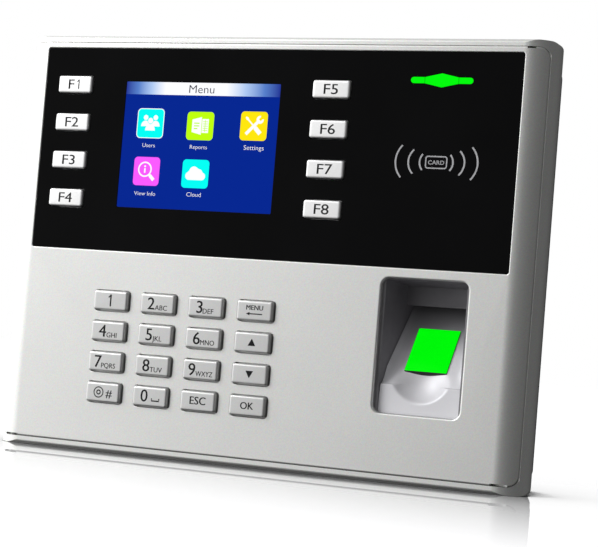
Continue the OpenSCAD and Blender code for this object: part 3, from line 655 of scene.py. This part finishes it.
def cap_height():
    curve = bpy.data.curves.new("capital", "FONT")
    curve.body = "H"
    made = bpy.data.objects.new("capital", curve)
    bpy.context.scene.collection.objects.link(made)
    bpy.context.view_layer.update()
    tall = max(corner[1] for corner in made.evaluated_get(bpy.context.evaluated_depsgraph_get()).bound_box)
    bpy.data.objects.remove(made)
    return tall


CAP = cap_height()


def add_text(bm, text, x, z, depth, height, anchor=0.5, weight=0.0, squeeze=1.0, thick=0.012 * MM):
    """Adds text to a bmesh.

    x is its left edge, middle or right edge for anchor 0, 0.5 or 1; z is its base line."""
    mesh = letters(text, height, weight)
    xs = [vert.co.x for vert in mesh.vertices]
    left, wide = min(xs), max(xs) - min(xs)
    tallest = max(abs(vert.co.z) for vert in mesh.vertices)
    for vert in mesh.vertices:
        across = (vert.co.x - left - anchor * wide) * squeeze
        vert.co = at(x + across, depth + thick / 2 - vert.co.z / tallest * thick / 2, z + vert.co.y)
    bm.from_mesh(mesh)
    bpy.data.meshes.remove(mesh)


def add_prism(bm, points, depth, thick=0.012 * MM):
    """Adds a thin prism over a shape that has no holes."""
    front, back = ring(bm, points, depth), ring(bm, points, depth + thick)
    band(bm, front, back)
    bm.faces.new(front)
    bm.faces.new(back)


def add_line(bm, points, width, depth, closed=False, thick=0.012 * MM):
    """Adds a thin flat line of one width along points."""
    count = len(points)
    left, right = [], []
    for i, (px, pz) in enumerate(points):
        ax, az = points[i - 1] if i or closed else points[i]
        bx, bz = points[(i + 1) % count] if i < count - 1 or closed else points[i]
        run = math.hypot(bx - ax, bz - az)
        nx, nz = (az - bz) / run * width / 2, (bx - ax) / run * width / 2
        left.append((px + nx, pz + nz))
        right.append((px - nx, pz - nz))
    if not closed:
        add_prism(bm, left + right[::-1], depth, thick)
        return
    rings = [ring(bm, side, d) for side, d in
             ((left, depth), (right, depth), (right, depth + thick), (left, depth + thick))]
    for a, b in zip(rings, rings[1:] + rings[:1]):
        band(bm, a, b)


KEY_INK = printed("key_ink", (0.003, 0.003, 0.004), 0.7)
F_INK = printed("function_key_ink", (0.006, 0.006, 0.007), 0.7)

# Each keypad key: its figure, its small letters, the figure's right edge, the gap to the letters and
# their width; lengths in mm from the key's middle
LEGENDS = {
    "key_1": ("1", "", 0.2, 0, 1), "key_2": ("2", "ABC", -1.1, 0.25, 1), "key_3": ("3", "DEF", -1.1, 0.25, 1),
    "key_4": ("4", "GHI", -0.7, 0.35, 1), "key_5": ("5", "JKL", -1.1, 0.25, 1),
    "key_6": ("6", "MNO", -1.1, 0.25, 0.94), "key_7": ("7", "PQRS", -1.6, 0.05, 0.97),
    "key_8": ("8", "TUV", -1.1, 0.25, 1), "key_9": ("9", "WXYZ", -2.0, 0.25, 0.87),
}
DIGIT_TALL = 4.5 * MM
LETTER_TALL = 1.85 * MM


def add_one(bm, x, z, depth, height, width):
    """A figure one with a short flag."""
    flag = [(x - 0.22 * height, z + 0.76 * height), (x - 0.09 * height, z + 0.86 * height), (x, z + height)]
    add_line(bm, [(x, z), (x, z + height)], width, depth)
    add_line(bm, flag, 0.8 * width, depth)


def bold_text(bm, text, x, z, depth, height, anchor=0.5, squeeze=1.0, spread=0.12 * MM):
    """Text made heavier: the same letters twice, a little apart."""
    for side in (-0.5, 0.5):
        add_text(bm, text, x + side * spread, z, depth + side * 0.002 * MM, height, anchor, 0.0, squeeze)


def legend(name):
    low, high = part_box(name)
    mid_x, mid_z, depth = (low.x + high.x) / 2, (low.z + high.z) / 2, low.y - FACE_Y
    half_w = (high.x - low.x) / 2 - FLANGE
    bm = bmesh.new()
    base = mid_z - DIGIT_TALL / 2
    ink = KEY_INK
    if name in LEGENDS:
        figure, small, edge, gap, wide = LEGENDS[name]
        edge = mid_x + edge * MM
        if small:
            bold_text(bm, figure, edge, base, depth, DIGIT_TALL, 1, 1.0, 0.14 * MM)
            bold_text(bm, small, edge + gap * MM, base - 0.1 * MM, depth, LETTER_TALL, 0, wide, 0.06 * MM)
        else:
            add_one(bm, edge, base, depth, DIGIT_TALL, 0.6 * MM)
    elif name == "key_0":
        bold_text(bm, "0", mid_x - 0.8 * MM, base + 0.3 * MM, depth, DIGIT_TALL, 1)
        tray = [(mid_x + a * MM, base + b * MM)
                for a, b in ((1.0, 1.75), (1.0, 0.8), (4.1, 0.8), (4.1, 1.75))]
        add_line(bm, tray, 0.52 * MM, depth)
    elif name == "key_hash":
        cx = mid_x - 1.7 * MM
        add_line(bm, arc(cx, mid_z, 1.95 * MM, 0, 345, 23), 0.40 * MM, depth, True)
        add_line(bm, arc(cx, mid_z, 0.75 * MM, 0, 330, 11), 0.48 * MM, depth, True)
        bold_text(bm, "#", mid_x + 2.8 * MM, mid_z - 1.75 * MM, depth, 3.0 * MM)
    elif name == "key_menu":
        bold_text(bm, "MENU", mid_x + 0.1 * MM, mid_z + 0.3 * MM, depth, 1.75 * MM)
        arrow_z = mid_z - 1.15 * MM
        add_line(bm, [(mid_x - 1.9 * MM, arrow_z), (mid_x + 3.3 * MM, arrow_z)], 0.42 * MM, depth)
        add_prism(bm, [(mid_x - 3.3 * MM, arrow_z), (mid_x - 1.8 * MM, arrow_z + 0.65 * MM),
                       (mid_x - 1.8 * MM, arrow_z - 0.65 * MM)], depth)
    elif name in ("key_up", "key_down"):
        s = 1 if name == "key_up" else -1
        add_prism(bm, [(mid_x - 1.55 * MM, mid_z - s * 1.25 * MM), (mid_x + 1.55 * MM, mid_z - s * 1.25 * MM),
                       (mid_x, mid_z + s * 1.45 * MM)][::s], depth)
    elif name in ("key_esc", "key_ok"):
        tall, wide = (2.85, 1.0) if name == "key_esc" else (2.55, 0.98)
        bold_text(bm, name[4:].upper(), mid_x + 0.1 * MM, mid_z - 1.2 * MM, depth, tall * MM,
                  0.5, wide, 0.16 * MM)
    else:
        ink = F_INK
        if name == "f1_key":
            bold_text(bm, "F", mid_x - 0.35 * MM, mid_z - 1.85 * MM, depth, 3.7 * MM, 1, 1.24, 0.08 * MM)
            add_one(bm, mid_x + 1.7 * MM, mid_z - 1.85 * MM, depth, 3.7 * MM, 0.42 * MM)
        else:
            bold_text(bm, name[:2].upper(), mid_x, mid_z - 1.85 * MM, depth, 3.7 * MM, 0.5, 1.24, 0.08 * MM)
    return piece(name + "_legend", bm, ink, name)


for name in KEYPAD_KEYS:
    key_cap(name, 0.8 * MM, 0.75 * MM, finish_of["key_silver"])
    legend(name)
for name in F_KEYS:
    key_cap(name, 0.7 * MM, 0.7 * MM, KEY_SILVER_PAINTED_LIGHT)
    legend(name)


# ---- Screen page ----------------------------------------------------------

SX0, SX1, SZ0, SZ1 = front_range("lcd_screen")
SCREEN_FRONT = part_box("lcd_screen")[0].y - FACE_Y
LAYER = 0.018 * MM


def on_screen(u, v):
    """A point of the page, with u from its left edge and v down from its top edge, both 0 to 1."""
    return SX0 + u * (SX1 - SX0), SZ1 - v * (SZ1 - SZ0)


def page(name, draw, mat, layer):
    bm = bmesh.new()
    draw(bm, SCREEN_FRONT - layer * LAYER)
    return piece(name, bm, mat, "terminal")


def header_glow():
    """A bar that fades from blue at both ends to white in the middle."""
    bar = Shader("screen_header", (0.02, 0.02, 0.03), 0.12, 0.0, 0.08)
    split = bar.node("ShaderNodeSeparateXYZ")
    bar.link(bar.coords, split.inputs["Vector"])
    along = bar.spread(split.outputs["X"], 0.0, 1.0, SX0, SX1)
    white, pale, deep = (0.97, 0.98, 1.0), (0.42, 0.58, 0.88), (0.08, 0.20, 0.58)
    stops = [(0.0, SCREEN_BLUE), (0.08, deep), (0.17, pale), (0.26, white), (0.66, white), (0.78, pale),
             (0.90, deep), (1.0, SCREEN_BLUE)]
    bar.glow(bar.ramp(along, stops))
    return bar.mat


WHITE = lit("icon_white", (1.0, 1.0, 1.0))
CYAN = lit("icon_cyan", (0.0, 1.0, 0.91))
LIME = lit("icon_lime", (0.52, 1.0, 0.003))
YELLOW = lit("icon_yellow", (1.0, 0.80, 0.003))
MAGENTA = lit("icon_magenta", (0.96, 0.105, 1.0))
HEADER_INK = lit("header_ink", (0.02, 0.02, 0.04))


def screen_box(u0, u1, v0, v1, corner, grow=0.0):
    (xa, za), (xb, zb) = on_screen(u0, v1), on_screen(u1, v0)
    return round_box(xa, xb, za, zb, corner, grow)


def person(bm, cx, cz, k, depth):
    """A head over rounded shoulders."""
    add_prism(bm, arc(cx, cz + 0.30 * k, 0.19 * k, 0, 348, 29), depth)
    shoulders = [(x, cz - 0.36 * k + (z - cz) * 1.15) for x, z in arc(cx, cz, 0.37 * k, 0, 180, 16)]
    add_prism(bm, shoulders, depth)


def people(bm, cx, cz, unit, depth):
    """The two people at the back."""
    for side in (-1, 1):
        person(bm, cx + side * 0.39 * unit, cz + 0.13 * unit, 0.95 * unit, depth)


def table_page(bm, cx, cz, unit, depth):
    """A sheet seen at a slant with a table beside it."""
    k = unit
    add_prism(bm, [(cx - 0.66 * k, cz - 0.46 * k), (cx + 0.10 * k, cz - 0.64 * k),
                   (cx + 0.10 * k, cz + 0.66 * k), (cx - 0.66 * k, cz + 0.46 * k)], depth)
    add_prism(bm, [(cx + 0.15 * k, cz - 0.50 * k), (cx + 0.68 * k, cz - 0.50 * k),
                   (cx + 0.68 * k, cz + 0.52 * k), (cx + 0.15 * k, cz + 0.52 * k)], depth)


def table_lines(bm, cx, cz, unit, depth):
    """The ruled table and three lines of writing on the sheet."""
    k = unit
    for i in range(5):
        z = cz + (0.32 - 0.16 * i) * k
        add_line(bm, [(cx + 0.22 * k, z), (cx + 0.62 * k, z)], 0.045 * k, depth)
    add_line(bm, [(cx + 0.40 * k, cz - 0.42 * k), (cx + 0.40 * k, cz + 0.44 * k)], 0.045 * k, depth)
    for i, end in enumerate((-0.06, -0.06, -0.20)):
        z = cz + (0.20 - 0.20 * i) * k
        add_line(bm, [(cx - 0.50 * k, z), (cx + end * k, z)], 0.08 * k, depth)


def turned(points, cx, cz, angle):
    c, s = math.cos(math.radians(angle)), math.sin(math.radians(angle))
    return [(cx + x * c - z * s, cz + x * s + z * c) for x, z in points]


def tools(bm, cx, cz, unit, depth):
    """A spanner crossed with a screwdriver."""
    k = 1.06 * unit
    jaw = arc(0, 0.62 * k, 0.27 * k, 125, 415, 14)
    mouth = [(0.10 * k, 0.78 * k), (0.10 * k, 0.58 * k), (-0.10 * k, 0.58 * k), (-0.10 * k, 0.78 * k)]
    add_prism(bm, turned(jaw + mouth, cx, cz, -45), depth)
    add_prism(bm, turned([(-0.11 * k, -0.78 * k), (0.11 * k, -0.78 * k), (0.11 * k, 0.50 * k),
                          (-0.11 * k, 0.50 * k)], cx, cz, -45), depth + 0.001 * MM)
    driver = [(-0.05 * k, -0.10 * k), (-0.15 * k, -0.16 * k), (-0.15 * k, -0.72 * k), (0.15 * k, -0.72 * k),
              (0.15 * k, -0.16 * k), (0.05 * k, -0.10 * k), (0.05 * k, 0.60 * k), (0.10 * k, 0.68 * k),
              (0.05 * k, 0.86 * k), (-0.05 * k, 0.86 * k), (-0.10 * k, 0.68 * k), (-0.05 * k, 0.60 * k)]
    add_prism(bm, turned(driver, cx, cz, 45), depth - 0.002 * MM)


def magnifier(bm, cx, cz, unit, depth):
    """A magnifying glass with a letter i in it."""
    lx, lz = cx - 0.14 * unit, cz + 0.14 * unit
    add_line(bm, arc(lx, lz, 0.51 * unit, 0, 345, 23), 0.11 * unit, depth, True)
    add_prism(bm, turned([(-0.13 * unit, 0), (0.13 * unit, 0), (0.13 * unit, 0.40 * unit),
                          (0.06 * unit, 0.62 * unit), (-0.06 * unit, 0.62 * unit),
                          (-0.13 * unit, 0.40 * unit)],
                         cx + 0.62 * unit, cz - 0.62 * unit, 45), depth)
    add_prism(bm, arc(lx, lz + 0.22 * unit, 0.075 * unit, 0, 330, 11), depth)
    add_prism(bm, [(lx - 0.06 * unit, lz - 0.26 * unit), (lx + 0.06 * unit, lz - 0.26 * unit),
                   (lx + 0.06 * unit, lz + 0.08 * unit), (lx - 0.06 * unit, lz + 0.08 * unit)], depth)


def cloud(bm, cx, cz, unit, depth):
    """A cloud drawn as one outline of arcs over a flat base."""
    k = unit
    outline = (arc(cx - 0.51 * k, cz - 0.16 * k, 0.29 * k, 270, 115, 10)
               + arc(cx - 0.13 * k, cz + 0.17 * k, 0.37 * k, 170, 45, 12)
               + arc(cx + 0.30 * k, cz + 0.10 * k, 0.25 * k, 95, 15, 8)
               + arc(cx + 0.53 * k, cz - 0.17 * k, 0.28 * k, 75, -90, 12))
    add_prism(bm, outline[::-1], depth)


ICONS = [
    ("users", (0.092, 0.2655, 0.2135, 0.4455), CYAN, people, "Users", 0.507, 1.5, 0.0),
    ("reports", (0.4195, 0.5935, 0.228, 0.451), LIME, table_page, "Reports", 0.508, 1.45, 0.0),
    ("settings", (0.7655, 0.9355, 0.216, 0.4415), YELLOW, tools, "Settings", 0.502, 1.7, 0.7),
    ("view", (0.0935, 0.2645, 0.597, 0.8235), MAGENTA, magnifier, "View Info", 0.890, 1.5, 0.0),
    ("cloud", (0.4145, 0.5875, 0.604, 0.828), CYAN, cloud, "Cloud", 0.8825, 1.6, 0.0),
]
page("screen_header_bar", lambda bm, d: add_prism(bm, screen_box(0.0, 1.0, 0.0, 0.10, 0.1 * MM), d),
     header_glow(), 1)
page("screen_title", lambda bm, d: add_text(
    bm, "Menu", *on_screen(0.498, 0.082), d, 3.05 * MM, 0.5, -0.006, 1.12), HEADER_INK, 2)
labels = bmesh.new()
for icon, (u0, u1, v0, v1), mat, glyph, label, label_v, tall, shift in ICONS:
    centre = on_screen((u0 + u1) / 2, (v0 + v1) / 2)
    unit = (v1 - v0) * (SZ1 - SZ0) * 0.48
    page("icon_" + icon, lambda bm, d: add_prism(bm, screen_box(u0, u1, v0, v1, 1.5 * MM), d), mat, 1)
    page("glyph_" + icon, lambda bm, d: glyph(bm, *centre, unit, d), WHITE, 2)
    if icon == "users":
        page("halo_" + icon, lambda bm, d: person(
            bm, centre[0], centre[1] - 0.18 * unit, 1.26 * unit, d), mat, 3)
        page("front_" + icon, lambda bm, d: person(
            bm, centre[0], centre[1] - 0.13 * unit, 1.06 * unit, d), WHITE, 4)
        page("outline_" + icon, lambda bm, d: add_line(
            bm, screen_box(u0, u1, v0, v1, 1.5 * MM), 0.28 * MM, d, True), WHITE, 2)
    if icon == "reports":
        page("table_" + icon, lambda bm, d: table_lines(bm, *centre, unit, d), mat, 3)
    label_x, label_z = on_screen((u0 + u1) / 2, label_v + 0.012)
    add_text(labels, label, label_x + shift * MM, label_z, SCREEN_FRONT - LAYER, tall * MM, 0.5, -0.011, 1.09)
piece("screen_labels", labels, WHITE, "terminal")


# ---- Card symbol ----------------------------------------------------------

CARD_INK = printed("card_ink", (0.56, 0.56, 0.58))
CARD_X, CARD_Z = RECESS_X + 0.55 * MM, (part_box("rfid_antenna")[0].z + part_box("rfid_antenna")[1].z) / 2
bm = bmesh.new()
card_depth = PANEL_FRONT - 0.014 * MM
card_edge = round_box(CARD_X - 3.95 * MM, CARD_X + 3.95 * MM, CARD_Z - 2.1 * MM, CARD_Z + 2.1 * MM, 0.8 * MM)
add_line(bm, card_edge, 0.45 * MM, card_depth, True)
add_text(bm, "CARD", CARD_X, CARD_Z - 0.75 * MM, card_depth, 1.4 * MM, 0.5, 0.012, 1.12)
for reach, half, bow in ((6.3, 2.85, 1.1), (10.6, 4.3, 1.9), (15.5, 5.8, 2.35)):
    radius = (half * half + bow * bow) / (2 * bow)
    sweep = math.degrees(math.asin(half / radius))
    for s in (-1, 1):
        points = arc(0, 0, radius * MM, -sweep, sweep, 14)
        add_line(bm, [(CARD_X + s * (x + (reach - radius) * MM), CARD_Z + z) for x, z in points],
                 0.62 * MM, card_depth)
piece("card_symbol", bm, CARD_INK, "terminal")

# ---- Status light ---------------------------------------------------------

SEAM = lit("status_seam", (0.0, 0.42, 0.002), 0.6, 0.3)
bm = bmesh.new()
lens_depth = lens_low.y - FACE_Y + 0.01 * MM
for s in (-1, 1):
    x = STATUS_X + s * 6.4 * MM
    add_line(bm, [(x, STATUS_Z - 1.1 * MM), (x, STATUS_Z + 1.1 * MM)], 0.22 * MM, lens_depth - 0.01 * MM)
piece("status_seams", bm, SEAM, "terminal")
bm = bmesh.new()
rings = [ring(bm, status_shape(grow), lens_depth + d) for grow, d in edge_profile(0.1 * MM, 3)]
rings = [ring(bm, status_shape(0.0), lens_high.y - FACE_Y)] + rings[::-1]
for a, b in zip(rings, rings[1:]):
    band(bm, a, b)
bm.faces.new(rings[0])
bm.faces.new(rings[-1])
lens = piece("status_light", bm, finish_of["status_green"], "terminal")
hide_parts("status_lens")

# ---- Floor, light and camera ----------------------------------------------

# The studio's light by direction: across from left to right, from below to above, from front to back
WORLD_STRENGTH = 2.0
WORLD_ACROSS = ((-1, 0.88), (-0.75, 0.78), (-0.53, 0.50), (-0.29, 0.36), (-0.12, 0.20), (0.1, 0.10),
                (1, 0.07))
WORLD_UPRIGHT = ((-1, 0.02), (-0.6, 0.2), (-0.2, 0.85), (0.0, 1.0), (0.25, 0.9), (0.5, 1.1), (1, 1.2))
WORLD_BACK = ((-1, 1.0), (0.6, 1.0), (0.85, 0.55), (1, 0.35))


def make_floor():
    """A pale floor that mirrors the body, less with distance, with a painted shadow where the body meets it.
    """
    reach = 6.0
    floor_mesh = bpy.data.meshes.new("floor")
    corners = ((-reach, -reach), (reach, -reach), (reach, reach), (-reach, reach))
    floor_mesh.from_pydata([(x, y, -0.0001) for x, y in corners], [], [(0, 1, 2, 3)])
    floor = bpy.data.objects.new("floor", floor_mesh)
    bpy.context.scene.collection.objects.link(floor)
    floor.visible_glossy = False
    floor.visible_diffuse = False
    mat = bpy.data.materials.new("floor")
    mat.use_nodes = True
    tree = mat.node_tree
    tree.nodes.clear()
    nodes = {key: tree.nodes.new(kind) for key, kind in (
        ("out", "ShaderNodeOutputMaterial"), ("mix", "ShaderNodeMixShader"),
        ("diffuse", "ShaderNodeBsdfDiffuse"),
        ("gloss", "ShaderNodeBsdfGlossy"), ("glow", "ShaderNodeEmission"), ("add", "ShaderNodeAddShader"),
        ("coords", "ShaderNodeTexCoord"), ("split", "ShaderNodeSeparateXYZ"), ("away", "ShaderNodeMath"),
        ("fade", "ShaderNodeMapRange"), ("contact", "ShaderNodeAmbientOcclusion"),
        ("shade", "ShaderNodeMapRange"), ("dim", "ShaderNodeMapRange"))}
    nodes["diffuse"].inputs["Color"].default_value = (0.40, 0.40, 0.41, 1)
    nodes["gloss"].inputs["Roughness"].default_value = 0.0
    # Painted shadow: near the body the occlusion value dims the floor's glow and darkens its mirror.
    nodes["contact"].inputs["Distance"].default_value = 0.05
    nodes["contact"].samples = 8
    for key, value in (("From Min", 0.54), ("From Max", 0.95), ("To Min", 0.0), ("To Max", 0.80)):
        nodes["shade"].inputs[key].default_value = value
    for key, value in (("From Min", 0.50), ("From Max", 0.60), ("To Min", 0.08), ("To Max", 1.0)):
        nodes["dim"].inputs[key].default_value = value
    nodes["away"].operation = "ABSOLUTE"
    for key, value in (("From Min", 0.03), ("From Max", 0.22), ("To Min", 0.75), ("To Max", 0.0)):
        nodes["fade"].inputs[key].default_value = value
    for start, out, end, into in (("coords", "Object", "split", 0), ("split", "Y", "away", 0),
                                  ("away", 0, "fade", "Value"), ("fade", 0, "mix", "Fac"),
                                  ("contact", "AO", "shade", "Value"), ("shade", 0, "glow", "Strength"),
                                  ("contact", "AO", "dim", "Value"), ("dim", 0, "gloss", "Color"),
                                  ("diffuse", 0, "add", 0), ("glow", 0, "add", 1), ("add", 0, "mix", 1),
                                  ("gloss", 0, "mix", 2), ("mix", 0, "out", "Surface")):
        tree.links.new(nodes[start].outputs[out], nodes[end].inputs[into])
    floor_mesh.materials.append(mat)


def world_ramp(tree, source, stops):
    """A grey ramp over a direction's component from -1 to 1; stops are (component, value)."""
    shift = tree.nodes.new("ShaderNodeMapRange")
    shift.inputs["From Min"].default_value = -1.0
    ramp = tree.nodes.new("ShaderNodeValToRGB")
    elements = ramp.color_ramp.elements
    elements[0].position, elements[1].position = 0.0, 1.0
    elements[0].color = (*[stops[0][1]] * 3, 1)
    elements[1].color = (*[stops[-1][1]] * 3, 1)
    for place, value in stops[1:-1]:
        elements.new((place + 1) / 2).color = (*[value] * 3, 1)
    tree.links.new(source, shift.inputs["Value"])
    tree.links.new(shift.outputs["Result"], ramp.inputs["Fac"])
    return ramp.outputs["Color"]


def make_world():
    """White to the camera and in the floor; as light, bright from the left and dim from the right."""
    world = bpy.data.worlds.new("studio")
    bpy.context.scene.world = world
    world.use_nodes = True
    tree = world.node_tree
    tree.nodes.clear()
    out = tree.nodes.new("ShaderNodeOutputWorld")
    mix = tree.nodes.new("ShaderNodeMixShader")
    path = tree.nodes.new("ShaderNodeLightPath")
    white = tree.nodes.new("ShaderNodeBackground")
    white.inputs["Color"].default_value = (1, 1, 1, 1)
    light = tree.nodes.new("ShaderNodeBackground")
    light.inputs["Strength"].default_value = WORLD_STRENGTH
    coords = tree.nodes.new("ShaderNodeTexCoord")
    split = tree.nodes.new("ShaderNodeSeparateXYZ")
    tree.links.new(coords.outputs["Generated"], split.inputs[0])
    across = world_ramp(tree, split.outputs["X"], WORLD_ACROSS)
    upright = world_ramp(tree, split.outputs["Z"], WORLD_UPRIGHT)
    back = world_ramp(tree, split.outputs["Y"], WORLD_BACK)
    level = across
    for other in (upright, back):
        product = tree.nodes.new("ShaderNodeMix")
        product.data_type = "RGBA"
        product.blend_type = "MULTIPLY"
        product.inputs["Factor"].default_value = 1.0
        tree.links.new(level, product.inputs["A"])
        tree.links.new(other, product.inputs["B"])
        level = product.outputs["Result"]
    tree.links.new(level, light.inputs["Color"])
    sharp = tree.nodes.new("ShaderNodeMath")
    sharp.operation = "MAXIMUM"
    tree.links.new(path.outputs["Is Camera Ray"], sharp.inputs[0])
    tree.links.new(path.outputs["Is Singular Ray"], sharp.inputs[1])
    tree.links.new(sharp.outputs[0], mix.inputs["Fac"])
    tree.links.new(light.outputs[0], mix.inputs[1])
    tree.links.new(white.outputs[0], mix.inputs[2])
    tree.links.new(mix.outputs[0], out.inputs["Surface"])


def area_light(name, place, target, size, power):
    lamp = bpy.data.lights.new(name, "AREA")
    lamp.shape = "RECTANGLE"
    lamp.size, lamp.size_y = size
    lamp.energy = power
    made = bpy.data.objects.new(name, lamp)
    made.location = place
    made.rotation_euler = (Vector(target) - Vector(place)).to_track_quat("-Z", "Y").to_euler()
    bpy.context.scene.collection.objects.link(made)


def make_camera():
    data = bpy.data.cameras.new("camera")
    data.sensor_fit = "HORIZONTAL"
    data.sensor_width = 36.0
    data.lens = 110.3
    data.clip_start = 0.01
    camera = bpy.data.objects.new("camera", data)
    right = Vector((0.91622, 0.39239, 0.08106))
    down = Vector((0.05741, 0.07165, -0.99578))
    view = Vector((-0.39654, 0.91701, 0.04311))
    place = Vector((0.2836, -0.6362, 0.0436))
    rows = [(*row, p) for row, p in zip(zip(right, -down, -view), place)]
    camera.matrix_world = Matrix(rows + [(0, 0, 0, 1)])
    bpy.context.scene.collection.objects.link(camera)
    bpy.context.scene.camera = camera


for flag in ("visible_diffuse", "visible_glossy"):
    setattr(window, flag, False)
make_floor()
make_world()
make_camera()
area_light("key_light", (-1.05, -0.95, 0.85), (0, 0, 0.08), (0.7, 0.7), 9.6)
bpy.context.scene.view_settings.view_transform = "Standard"
